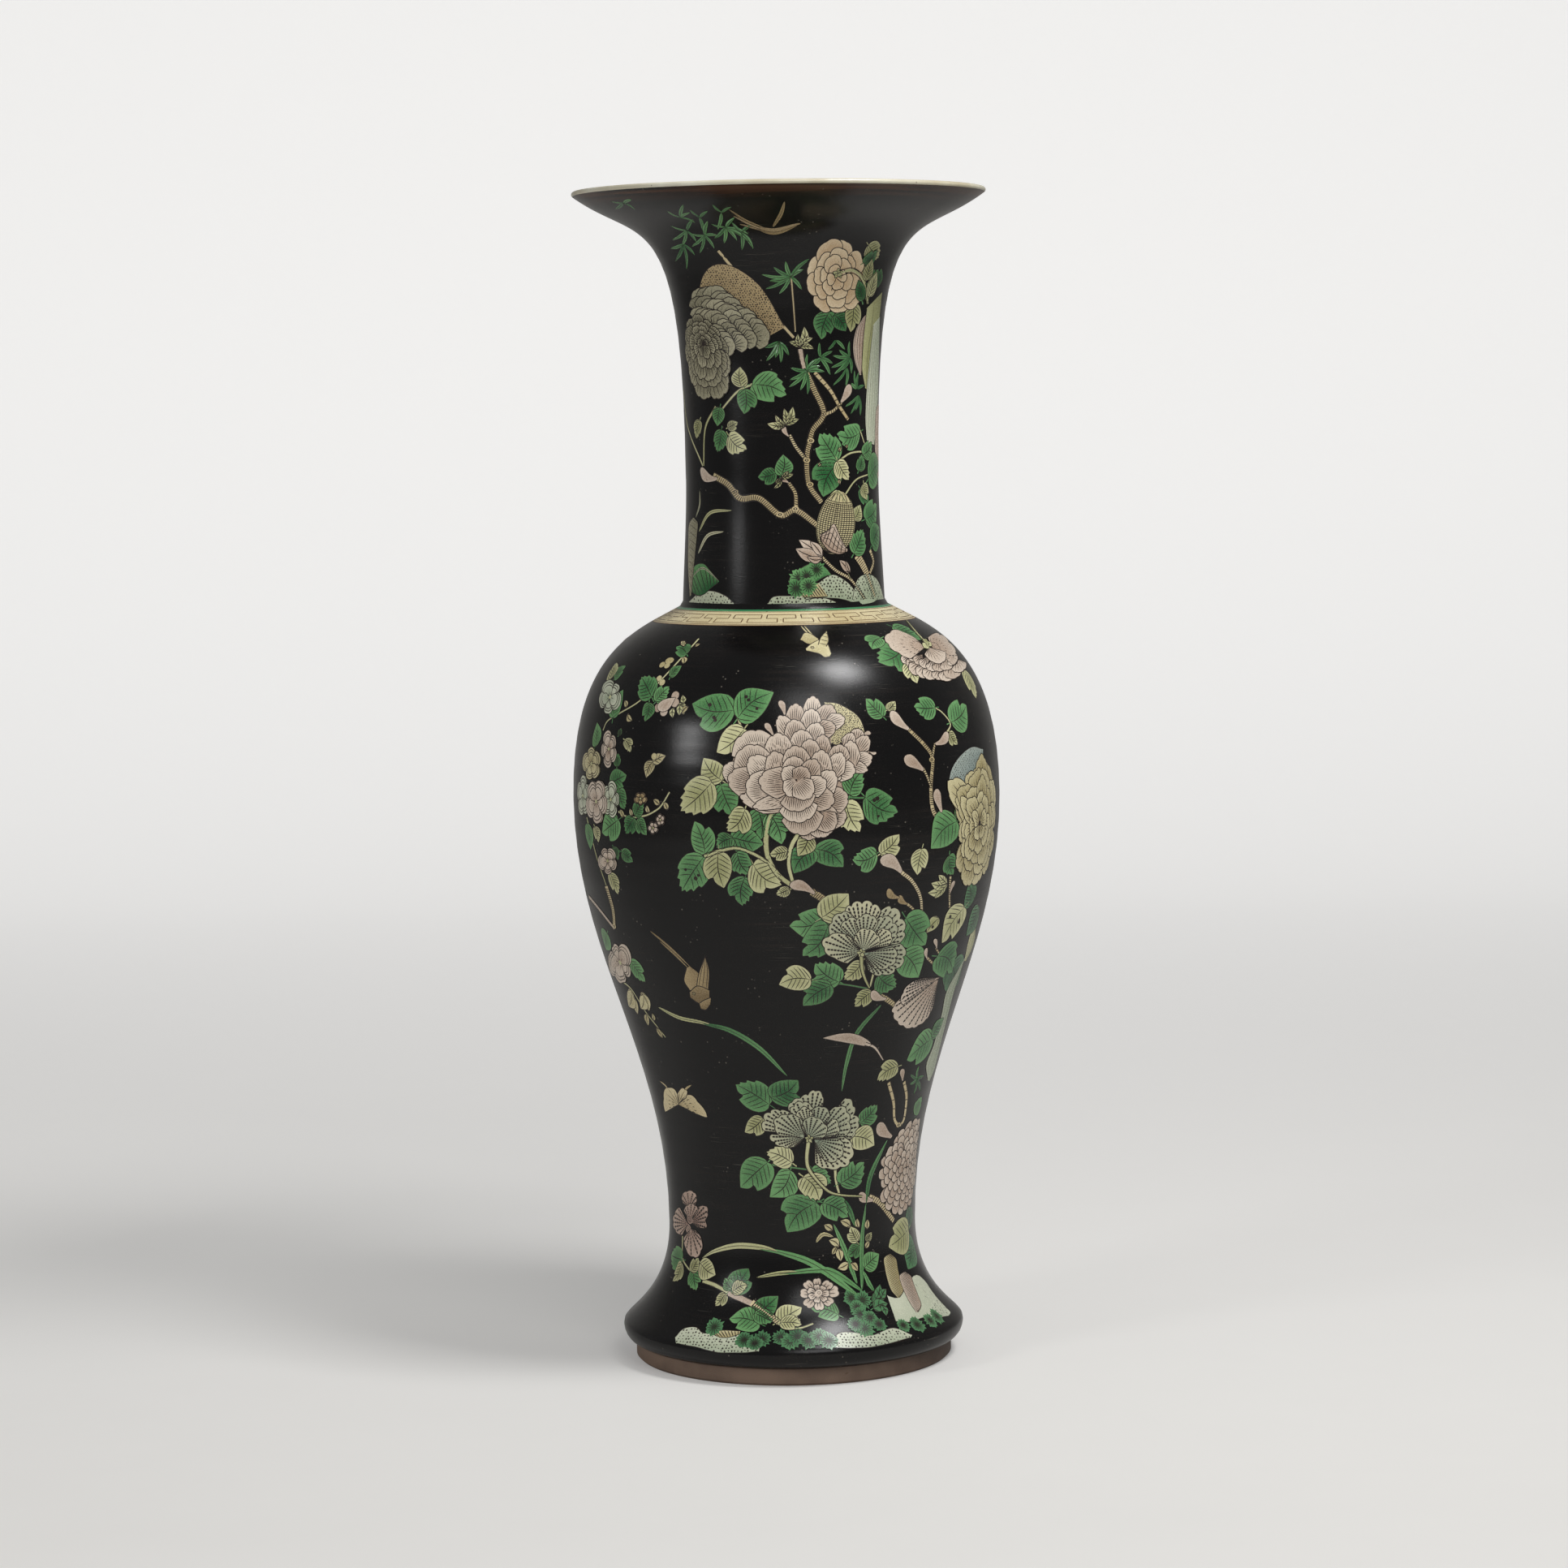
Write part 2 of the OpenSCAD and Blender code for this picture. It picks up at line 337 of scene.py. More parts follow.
def makeGround():
    material, tree, shader, marks = startMaterial("blackGround")
    streak = remap(tree, marks["Wheel"], 0.52, 0.8)
    worn = combine(tree, "MULTIPLY", streak, remap(tree, marks["Cloud"], 0.42, 0.7))
    colour = mixColour(tree, worn, ground["black"], ground["brown"])
    # A painted reflection: brown streaks in a narrow band just under the lip.
    lipSheenBand = combine(tree, "MULTIPLY", remap(tree, marks["Height"], *ground["lipSheenBand"]),
                      remap(tree, marks["Wheel"], 0.35, 0.6))
    colour = mixColour(tree, lipSheenBand, colour, ground["lipSheenBrown"])
    nick = combine(tree, "MAXIMUM", combine(tree, "MULTIPLY", marks["Speck"], 0.5),
                   combine(tree, "MULTIPLY", marks["Scratch"], 0.22))
    place = addNode(tree, "ShaderNodeTexCoord").outputs["Object"]
    dust = addNode(tree, "ShaderNodeTexVoronoi", {"Vector": place, "Scale": ground["dust"]})
    dust = combine(tree, "MULTIPLY", remap(tree, dust.outputs["Distance"], 0.2, 0.1),
                   remap(tree, marks["Cloud"], 0.4, 0.62, 0.02, 0.16))
    nick = combine(tree, "MAXIMUM", nick, dust)
    colour = mixColour(tree, nick, colour, ground["pale"])
    tree.links.new(colour, shader.inputs["Base Color"])
    tree.links.new(remap(tree, marks["Cloud"], 0.3, 0.7, ground["gloss"], ground["gloss"] + 0.12),
                   shader.inputs["Roughness"])
    shader.inputs["Specular IOR Level"].default_value = 0.3
    relief = combine(tree, "ADD", combine(tree, "MULTIPLY", marks["Wheel"], 0.1), marks["Grain"])
    setBump(tree, shader, relief, 0.16, 0.0003)
    return material


def makeEnamel(name, shadedColour, lit, gloss, bump=0.3):
    # A painted enamel: tone mixes painted shade and painted light, from its shaded colour to its lit one;
    # pick sets each shape apart.
    shadedColour, lit = look(*shadedColour), look(*lit)
    material, tree, shader, marks = startMaterial(name)
    tone = addNode(tree, "ShaderNodeAttribute", attribute_name="tone").outputs["Fac"]
    pick = addNode(tree, "ShaderNodeAttribute", attribute_name="pick").outputs["Fac"]
    litShare = combine(tree, "ADD", tone, remap(tree, marks["Cloud"], 0.3, 0.7, -0.3, 0.3))
    litShare = combine(tree, "ADD", litShare, remap(tree, marks["Grain"], 0.3, 0.7, -0.16, 0.16))
    litShare = combine(tree, "ADD", litShare, remap(tree, pick, 0, 1, -0.25, 0.25))
    # The shaded and lit colours mixed by tone, with random mottling: painted shade and painted light.
    colour = mixColour(tree, remap(tree, litShare, 0.0, 1.0), shadedColour, lit)
    chip = combine(tree, "MULTIPLY", marks["Speck"], 0.55)
    colour = mixColour(tree, chip, colour, kiln["chip"])
    tree.links.new(colour, shader.inputs["Base Color"])
    tree.links.new(remap(tree, marks["Grain"], 0.3, 0.7, gloss, gloss + 0.14), shader.inputs["Roughness"])
    setBump(tree, shader, combine(tree, "ADD", marks["Grain"], marks["Cloud"]), bump, 0.0004)
    return material


enamelLooks = {
    # Material, shaded and lit colour (painted shade and painted light), roughness and, where it is low,
    # relief.
    "leaf": ("leafGreen", (34, 92, 48), (116, 168, 108), 0.1),
    "lime": ("leafYellow", (156, 158, 106), (216, 214, 166), 0.14),
    "pink": ("petalPink", (170, 146, 126), (220, 204, 186), 0.2),
    "cream": ("petalCream", (208, 178, 138), (240, 220, 184), 0.2),
    "olive": ("petalOlive", (108, 104, 82), (176, 170, 142), 0.2),
    "sea": ("petalSea", (138, 152, 130), (210, 206, 172), 0.16),
    "straw": ("petalStraw", (164, 150, 104), (216, 206, 162), 0.18),
    "rock": ("rockCeladon", (160, 172, 144), (212, 216, 192), 0.16),
    "bark": ("barkTan", (172, 152, 108), (228, 212, 170), 0.22),
    "tan": ("birdTan", (124, 104, 70), (186, 164, 122), 0.22),
    "blue": ("petalBlue", (120, 136, 132), (178, 188, 178), 0.18),
    "moss": ("mossGreen", (30, 76, 46), (92, 142, 96), 0.14),
    "mauve": ("petalMauve", (140, 112, 100), (206, 180, 162), 0.2),
    "umber": ("umberLine", (84, 58, 36), (120, 88, 58), 0.3, 0.15),
    "ink": ("inkLine", (22, 14, 10), (50, 34, 26), 0.3, 0.15),
}
enamel = {kind: makeEnamel(*row) for kind, row in enamelLooks.items()}


def makePlain(name, base, other, gloss):
    material, tree, shader, marks = startMaterial(name)
    colour = mixColour(tree, remap(tree, marks["Cloud"], 0.4, 0.65), look(*base), look(*other))
    colour = mixColour(tree, combine(tree, "MULTIPLY", marks["Speck"], 0.7), colour, kiln["stain"])
    tree.links.new(colour, shader.inputs["Base Color"])
    tree.links.new(remap(tree, marks["Grain"], 0.3, 0.7, gloss, gloss + 0.12), shader.inputs["Roughness"])
    setBump(tree, shader, combine(tree, "ADD", marks["Grain"], marks["Wheel"]), 0.3, 0.0003)
    return material


plainLooks = {
    "porcelain": ("porcelainBody", (226, 220, 206), (210, 203, 188), 0.35),
    "slip_clay": ("slipClay", (206, 197, 180), (190, 180, 162), 0.6),
    "biscuit": ("biscuitRing", (128, 106, 90), (78, 62, 52), 0.62),
    "pale_glaze": ("lipGlaze", (226, 224, 206), (190, 180, 152), 0.16),
    "clear_glaze": ("insideGlaze", (222, 224, 212), (208, 211, 198), 0.12),
    "green": ("lineGreen", (46, 122, 78), (84, 150, 104), 0.12),
    "yellow": ("bandYellow", (222, 208, 168), (196, 178, 132), 0.2),
}
plain = {kind: makePlain(*row) for kind, row in plainLooks.items()}
finishes = {"foot_ring": "biscuit", "lip_glaze": "pale_glaze", "inner_glaze": "clear_glaze",
            "base_glaze": "clear_glaze"}
for node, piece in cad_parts.items():
    finish = finishes.get(node, "slip_clay" if node.endswith("slip") else "porcelain")
    for socket in piece.material_slots:
        socket.material = plain[finish]
print("materials made")

sharpDegrees = 42


def makeObject(name, points, faces, material, attributes=None, replaced=()):
    mesh = bpy.data.meshes.new(name)
    mesh.from_pydata(points, [], faces)
    for key, values in (attributes or {}).items():
        field = mesh.attributes.new(key, "FLOAT", "POINT")
        field.data.foreach_set("value", np.asarray(values, np.float32))
    mesh.shade_smooth()
    mesh.set_sharp_from_angle(angle=math.radians(sharpDegrees))
    mesh.materials.append(material)
    piece = addObject(name, mesh)
    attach(piece, "root")
    if replaced:
        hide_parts(*replaced)


# The coats: the smoothed outline turned round the axis, with its own thickness behind it.

coat = {"turns": 240, "spacing": 2.6, "thickness": 0.3}


def turnCoat(name, node, material):
    low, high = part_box(node)
    start, end = sAtHeight(low.z * 1000), sAtHeight(high.z * 1000)
    s = np.linspace(start, end, 3 + 2 * int(abs(end - start) / coat["spacing"] / 2))
    angle = np.linspace(0, 2 * math.pi, coat["turns"], endpoint=False)[:, None]
    points = np.concatenate([onVase(angle, s), onVase(angle, s[::-2], -coat["thickness"])], 1) / 1000
    index = np.arange(points[..., 0].size).reshape(points.shape[:2])
    after, above = np.roll(index, -1, 0), np.roll(index, -1, 1)
    faces = np.stack([index, after, np.roll(after, -1, 1), above], -1).reshape(-1, 4)
    makeObject(name, points.reshape(-1, 3), faces.tolist(), material, replaced=(node,))


blackGround = makeGround()
turnCoat("neckGround", "neck_ground", blackGround)
turnCoat("bodyGround", "body_ground", blackGround)
turnCoat("greenLine", "green_line", plain["green"])
turnCoat("keyFretBand", "key_fret_band", plain["yellow"])
print("coats turned")

# The brush: every stroke is a thin closed skin laid on the outline, gathered by enamel and zone.

brush = {
    "line": 0.33,
    "step": 0.024,
    "sink": 0.06,
    "roughRadius": 80,
    "neckFrom": 452.0,
    "footBelow": 185.0,
    "seed": 11,
}
# A height map of the painted front: rows up s, columns along theta times the radius, in cells.
heights = {"cells": (1500, 620), "cell": 0.6, "leftEnd": -1.8, "radius": 100, "ground": 0.05}
gathered = {}
chance = np.random.default_rng(brush["seed"])
painted = np.full(heights["cells"], heights["ground"])


def settle(theta, s, layers=1.0):
    # The height at which a new shape clears all that lies under it; its cells then count as painted.
    row = np.ravel(s) / heights["cell"]
    row = np.clip(row.astype(int), 1, painted.shape[0] - 2)
    column = (np.ravel(theta) - heights["leftEnd"]) * heights["radius"] / heights["cell"]
    column = np.clip(column.astype(int), 1, painted.shape[1] - 2)
    level = max(painted[row + i, column + j].max() for i in (-1, 0, 1) for j in (-1, 0, 1))
    painted[row, column] = level + brush["step"] * layers
    return level


def gather(kind, points, faceSets, tone, pick):
    # points is shape x vertex x 3; each face set is one shape's faces, repeated for every shape.
    height = points[..., 2].mean(1)
    zone = np.where(height > brush["neckFrom"], 0, np.where(height < brush["footBelow"], 2, 1))
    for number, label in enumerate(("Neck", "Body", "Foot")):
        chosen = zone == number
        if not chosen.any():
            continue
        store = gathered.setdefault((kind, label),
                                    {"points": [], "faces": [], "tone": [], "pick": [], "count": 0})
        part = points[chosen]
        first = store["count"] + np.arange(len(part)) * part.shape[1]
        for faces in faceSets:
            store["faces"].append((faces[None] + first[:, None, None]).reshape(-1, faces.shape[1]))
        store["points"].append(part.reshape(-1, 3))
        store["tone"].append(np.broadcast_to(tone, points.shape[:2])[chosen].ravel())
        store["pick"].append(np.broadcast_to(pick[:, None], points.shape[:2])[chosen].ravel())
        store["count"] += part.shape[0] * part.shape[1]


def perShape(lift, shape):
    return np.broadcast_to(np.reshape(lift, (-1, 1)), shape)


def gridFaces(index):
    return np.stack([index[:-1, :-1], index[1:, :-1], index[1:, 1:], index[:-1, 1:]], -1).reshape(-1, 4)


@lru_cache(maxsize=None)
def sheetFaces(m, n):
    # The top is the whole grid; the underside keeps every column but only every few rows.
    index = np.arange(m * n).reshape(m, n)
    top = gridFaces(index)
    rim = np.concatenate([index[:-1, 0], index[-1, :-1], index[:0:-1, -1], index[0, :0:-1]])
    jump = next(k for k in (4, 3, 5, 2, 1) if (m - 1) % k == 0)
    under = np.concatenate([rim, index[jump:-1:jump, 1:-1].ravel()])
    low = np.zeros(m * n, int)
    low[under] = m * n + np.arange(len(under))
    side = np.stack([np.roll(rim, -1), rim, low[rim], np.roll(low[rim], -1)], -1)
    low = low.reshape(m, n)
    a, b = low[:-1:jump], low[jump::jump]
    floor = np.stack([a[:, 1:-2], a[:, 2:-1], b[:, 2:-1], b[:, 1:-2]], -1).reshape(-1, 4)
    steps = np.arange(0, m - 1, jump)[:, None] + np.arange(jump + 1)
    left = np.concatenate([a[:, 1:2], b[:, 1:2], low[steps, 0][:, ::-1]], 1)
    right = np.concatenate([a[:, -2:-1], low[steps, -1], b[:, -2:-1]], 1)
    return under, (top, side, floor, left, right)


def sheet(kind, theta, s, lift, tone=0.5):
    # A skin over a grid of shape x row x column, with its rim carried down into the ground.
    theta, s = (a.reshape(-1, *a.shape[-2:]) for a in np.broadcast_arrays(theta, s))
    count, m, n = theta.shape
    flat = np.stack([theta * brush["roughRadius"], s])
    dRow, dCol = np.diff(flat, axis=2)[..., :-1], np.diff(flat, axis=3)[:, :, :-1]
    turn = (dRow[0] * dCol[1] - dRow[1] * dCol[0]).sum((1, 2)) < 0
    theta = np.where(turn[:, None, None], theta[:, :, ::-1], theta).reshape(count, -1)
    s = np.where(turn[:, None, None], s[:, :, ::-1], s).reshape(count, -1)
    lift = perShape(lift, (count, 1))
    tone = np.broadcast_to(tone, (count, m, n))
    tone = np.where(turn[:, None, None], tone[:, :, ::-1], tone).reshape(count, -1)
    under, faceSets = sheetFaces(m, n)
    lower = onVase(theta[:, under], s[:, under], -brush["sink"])
    points = np.concatenate([onVase(theta, s, lift), lower], 1)
    gather(kind, points, faceSets, np.concatenate([tone, tone[:, under]], 1), chance.random(count))


@lru_cache(maxsize=None)
def ribbonFaces(k):
    index = np.arange(k * 3).reshape(k, 3)
    after = np.roll(index, -1, 1)
    side = np.stack([index[:-1], after[:-1], after[1:], index[1:]], -1).reshape(-1, 4)
    return side, np.array([[2, 1, 0], [3 * k - 3, 3 * k - 2, 3 * k - 1]])


def matched(a, b):
    return np.broadcast_arrays(np.atleast_2d(a), np.atleast_2d(b))


def beside(theta, s):
    # Unit sideways step of a path, in millimetres across the surface, to the left of its run.
    r = radiusAt(s)
    du, dv = np.gradient(theta, axis=-1) * r, np.gradient(s, axis=-1)
    size = np.hypot(du, dv) + 1e-9
    return -dv / size / r, du / size


def ribbon(kind, theta, s, half, lift, rootLift=None, tone=0.5, crown=0.012):
    # A path of shape x point with a ridged cross-section; rootLift is the height of its two edges.
    theta, s = matched(theta, s)
    sideT, sideS = beside(theta, s)
    half = np.broadcast_to(half, theta.shape)
    lift = perShape(lift, theta.shape)
    root = lift if rootLift is None else np.full(theta.shape, rootLift)
    points = np.stack([onVase(theta + sideT * half, s + sideS * half, root),
                       onVase(theta, s, lift + crown),
                       onVase(theta - sideT * half, s - sideS * half, root)], 2)
    tone = np.repeat(np.broadcast_to(tone, theta.shape), 3, axis=1)
    gather(kind, points.reshape(len(theta), -1, 3), ribbonFaces(theta.shape[1]), tone,
           chance.random(len(theta)))


def ink(theta, s, lift, share=1.0, thin=True, half=None):
    # A pen line, fine at both ends; share is its width as a share of the usual one.
    theta, s = matched(theta, s)
    t = np.linspace(-1, 1, theta.shape[1])
    width = (half or brush["line"] * share) * ((1 - 0.75 * np.abs(t) ** 3) if thin else np.ones_like(t))
    ribbon("ink", theta, s, width, lift, crown=0.006, tone=0.35)


@lru_cache(maxsize=None)
def discFaces(sides):
    inner = 1 + np.arange(sides)
    outer = inner + sides
    fan = np.stack([np.zeros(sides, int), inner, np.roll(inner, -1)], -1)
    skirt = np.stack([inner, outer, np.roll(outer, -1), np.roll(inner, -1)], -1)
    return fan, skirt, outer[::-1][None]


def disc(kind, theta, s, radius, lift, sides=8, dome=0.03, tone=0.5, squash=1.0):
    # A low dome: one point, a ring at three quarters of the radius, and a rim in the ground.
    theta, s, radius = (np.ravel(a)[:, None] for a in np.broadcast_arrays(theta, s, radius))
    angle = np.linspace(0, 2 * math.pi, sides, endpoint=False)[None]
    lift = perShape(lift, theta.shape)

    def ring(share, height):
        v = s + radius * share * squash * np.sin(angle)
        return onVase(theta + radius * share * np.cos(angle) / radiusAt(s), v, height)

    points = np.concatenate([onVase(theta, s, lift + dome), ring(0.78, lift + dome * 0.55),
                             ring(1.0, lift - dome * 1.5)], 1)
    gather(kind, points, discFaces(sides), tone, chance.random(len(theta)))


def curveThrough(pixels, count):
    # A smooth path through given photo points, evenly stepped.
    p = np.asarray(pixels, float)
    p = np.concatenate([2 * p[:1] - p[1:2], p, 2 * p[-1:] - p[-2:-1]])
    t = np.linspace(0, len(p) - 3 - 1e-9, count * 4)
    k = t.astype(int)
    x = (t - k)[:, None]
    a, b, c, d = p[k], p[k + 1], p[k + 2], p[k + 3]
    line = 0.5 * (2 * b + (c - a) * x + (2 * a - 5 * b + 4 * c - d) * x ** 2
                  + (3 * b - a - 3 * c + d) * x ** 3)
    far = distances(line)
    even = np.linspace(0, far[-1], count)
    return np.stack([np.interp(even, far, line[:, 0]), np.interp(even, far, line[:, 1])], -1)


def pathOn(pixels, perPixel=0.4, least=8):
    p = np.asarray(pixels, float)
    count = max(least, int(stepLengths(p).sum() * perPixel))
    return spotsAt(curveThrough(p, count))


def circleOf(box, count=14):
    # Photo points round an oval that fills a box given as left, top, right, bottom.
    left, top, right, bottom = box
    a = np.linspace(0, 2 * math.pi, count, endpoint=False)
    return np.stack([(left + right) / 2 + (right - left) / 2 * np.cos(a),
                     (top + bottom) / 2 - (bottom - top) / 2 * np.sin(a)], -1)


leafSides = {
    # One side of a leaf from stalk to tip: along it, then out from its middle, in shares of its length.
    "lobed": [(0.0, 0.0), (-0.04, 0.1), (0.0, 0.24), (0.12, 0.37), (0.28, 0.44), (0.45, 0.46),
              (0.6, 0.43), (0.74, 0.37), (0.7, 0.28), (0.69, 0.19), (0.79, 0.2), (0.88, 0.16),
              (0.94, 0.09), (1.02, 0.0)],
    "round": [(0.0, 0.0), (-0.01, 0.12), (0.06, 0.27), (0.2, 0.39), (0.38, 0.43), (0.55, 0.4),
              (0.69, 0.32), (0.82, 0.21), (0.92, 0.1), (1.02, 0.0)],
    "toothed": [(0.0, 0.0), (-0.02, 0.12), (0.05, 0.27), (0.19, 0.39), (0.36, 0.43), (0.52, 0.42),
                (0.63, 0.39), (0.61, 0.32), (0.73, 0.29), (0.83, 0.27), (0.79, 0.19), (0.88, 0.15),
                (0.95, 0.12), (0.91, 0.06), (1.02, 0.0)],
    "oval": [(0.0, 0.0), (0.04, 0.16), (0.16, 0.28), (0.34, 0.34), (0.52, 0.32), (0.7, 0.23), (0.86, 0.1),
             (1.0, 0.0)],
    "drop": [(0.0, 0.0), (0.05, 0.1), (0.16, 0.16), (0.34, 0.21), (0.52, 0.22), (0.72, 0.17), (0.9, 0.07),
             (1.0, 0.0)],
    "bud": [(0.0, 0.0), (0.02, 0.07), (0.18, 0.1), (0.4, 0.16), (0.6, 0.22), (0.78, 0.23), (0.92, 0.16),
            (0.99, 0.07), (1.0, 0.0)],
}


@lru_cache(maxsize=None)
def starFaces(rings, k):
    ring = 1 + np.arange(k) + k * np.arange(rings)[:, None]
    after = np.roll(ring, -1, 1)
    first = np.stack([np.zeros(k, int), ring[0], after[0]], -1)
    quads = np.stack([ring[:-1], ring[1:], after[1:], after[:-1]], -1).reshape(-1, 4)
    last = np.stack([np.full(k, 1 + k * rings), after[-1], ring[-1]], -1)
    return first, quads, last


def star(kind, middle, edge, lift, tone):
    # A skin from a middle point out to a closed edge, turned so that it faces out, with a sunk rim.
    theta0, s0 = (x[:, None] for x in middle)
    theta, s = edge
    u, v = theta - theta0, s - s0
    turned = (u * np.roll(v, -1, 1) - np.roll(u, -1, 1) * v).sum(1)[:, None] < 0
    theta = np.where(turned, theta[:, ::-1], theta)
    s = np.where(turned, s[:, ::-1], s)
    shares, under = np.linspace(0, 1, 6)[1:], (1.0, 0.67, 0.34)
    lift = perShape(lift, theta0.shape)
    parts = [onVase(theta0, s0, lift)]
    parts += [onVase(theta0 + (theta - theta0) * k, s0 + (s - s0) * k, lift) for k in shares]
    parts += [onVase(theta0 + (theta - theta0) * k, s0 + (s - s0) * k, -brush["sink"]) for k in under]
    parts.append(onVase(theta0, s0, -brush["sink"]))
    k = theta.shape[1]
    tones = np.interp(np.r_[shares, under], (0, 0.3, 0.66, 1), tone)
    gather(kind, np.concatenate(parts, 1), starFaces(len(tones), k),
           np.r_[tone[0], np.repeat(tones, k), tone[0]][None], chance.random(len(theta)))


def leaves(kind, rows, shape=None, **settings):
    # Each row is stalk x, y, tip x, y. Without a named shape the leaves take turns at six pairs of sides.
    sides = ("lobed", "round", "toothed")
    for number, row in enumerate(rows):
        pair = (shape, shape) if shape else (sides[number % 3], sides[(number // 2 + 1) % 3])
        leaf(kind, row, *pair, **settings)


def leaf(kind, row, left, right, veins=5, holes=0, wide=1.0, largest=26.0, stalk=0.2):
    # The two sides make one closed edge, which is eased round its corners, bent and laid on the vase.
    (t0, t1), (s0, s1) = spotsAt(np.reshape(row, (2, 2)))
    du, dv = (t1 - t0) * radiusAt((s0 + s1) / 2), s1 - s0
    size = np.hypot(du, dv)
    alongU, alongV = du / size, dv / size
    size = min(size, largest)
    bend = (chance.random() - 0.5) * 0.3
    wide = wide * (0.9 + 0.2 * chance.random())

    def place(a, b):
        # a runs from stalk to tip, b is sideways, both in shares of the length
        a, b = matched(a, b)
        off = (b * wide + bend * np.sin(math.pi * a)) * size
        s = s0 + a * size * alongV + off * alongU
        return t0 + (a * size * alongU - off * alongV) / radiusAt(s), s

    line = np.concatenate([leafSides[left], np.array(leafSides[right])[-2:0:-1] * [1, -1]])
    loop = np.concatenate([line, line[:1]])
    fine = np.concatenate([np.linspace(p, q, 3)[:-1] for p, q in zip(loop[:-1], loop[1:])])
    fine = (np.roll(fine, 1, 0) + 5 * fine + np.roll(fine, -1, 0)) / 7
    shares = np.linspace(0.15, 1, 7)[:, None]
    lift = settle(*place(0.45 + (fine[:, 0] - 0.45) * shares, fine[:, 1] * shares))
    theta, s = place(0.45, 0.0)
    star(kind, (theta[0], s[0]), place(*fine.T), lift, (0.3, 0.38, 0.55, 0.85))
    over = lift + brush["step"] * 0.4
    ink(*place(*np.concatenate([fine, fine[:1]]).T), over, 0.6, thin=False)
    if not veins:
        return
    if stalk:
        ribbon(kind, *place(np.linspace(-stalk, 0.08, 6), 0.0), 0.5, lift - 0.01, rootLift=-brush["sink"])
    ink(*place(np.linspace(0.0, 0.95, 8), 0.0), over, 0.9)
    reach = np.array(leafSides["round" if left in ("lobed", "toothed") else left])
    x = np.linspace(0, 1, 5)
    way = np.repeat([[-1], [1]], veins, 0)
    begin = np.tile(0.02 + 0.66 * np.arange(veins) / veins, 2)[:, None]
    end = begin + 0.24 - 0.08 * begin
    tip = 0.9 * np.interp(end, reach[:, 0], reach[:, 1])
    ink(*place(begin + 0.02 * way + (end - begin) * x ** 1.25, way * tip * x), over, 0.72)
    if holes:
        side = np.where(np.arange(holes) % 2, -1, 1) * (0.1 + 0.12 * chance.random(holes))
        disc("ink", *place(0.22 + 0.4 * chance.random(holes), side),
             0.8 + 0.8 * chance.random((1, holes)), over - 0.004, dome=0.012, sides=12)


def petals(kind, corner, scale, rows, lobes=3, gap=2.7, ruffle=0.07, root=0.35, seed=1,
           lines=(0.16, 0.9)):
    # Petals read off an enlargement of the photo, lowest first: base x, y, tip x, y and width. A petal is
    # ruled from a short base to a rim that falls away at both sides and is cut into lobes by the size of
    # a sine. Root carries it on under its neighbours.
    rng = np.random.default_rng(seed)
    x = np.linspace(-1, 1, 25)
    lobe = np.abs(np.sin(math.pi * lobes * (x + 1) / 2)) ** 0.6
    rim = (1 - 0.6 * np.abs(x) ** 2.6) * (1 - ruffle * (1 - lobe))
    for bx, by, tx, ty, wide in rows:
        run = np.array((tx - bx, ty - by)) * (1 + root) / scale
        base = np.array(corner) + np.array((tx, ty)) / scale - run
        across = np.array([-run[1], run[0]]) / np.hypot(*run) * wide * 1.12 / scale / 2

        def place(share, column):
            share, column = matched(share, column)
            out = share * np.interp(column, x, rim)
            side = column * (0.4 + 0.6 * share ** 0.7)
            return gridSpots(base + run * out[..., None] + across * side[..., None])

        shares = np.linspace(0, 1, 9)[:, None]
        theta, s = place(shares, x)
        lift = settle(theta, s)
        sheet(kind, theta, s, lift, 0.25 + 0.6 * shares)
        over = lift + brush["step"] * 0.4
        edge = np.r_[np.linspace(0.1, 1, 4)[:-1], np.ones(25), np.linspace(1, 0.1, 4)[1:]]
        ink(*place(edge, np.r_[np.full(3, -1), x, np.full(3, 1)]), over, 0.75, thin=False)
        count = max(3, round(wide / scale / gap))
        start = lines[0] + 0.06 * rng.random((count, 1))
        end = lines[1] - 0.14 * rng.random((count, 1))
        column = np.linspace(-0.86, 0.86, count)[:, None]
        ink(*place(start + (end - start) * np.linspace(0, 1, 4), column), over, 0.6)


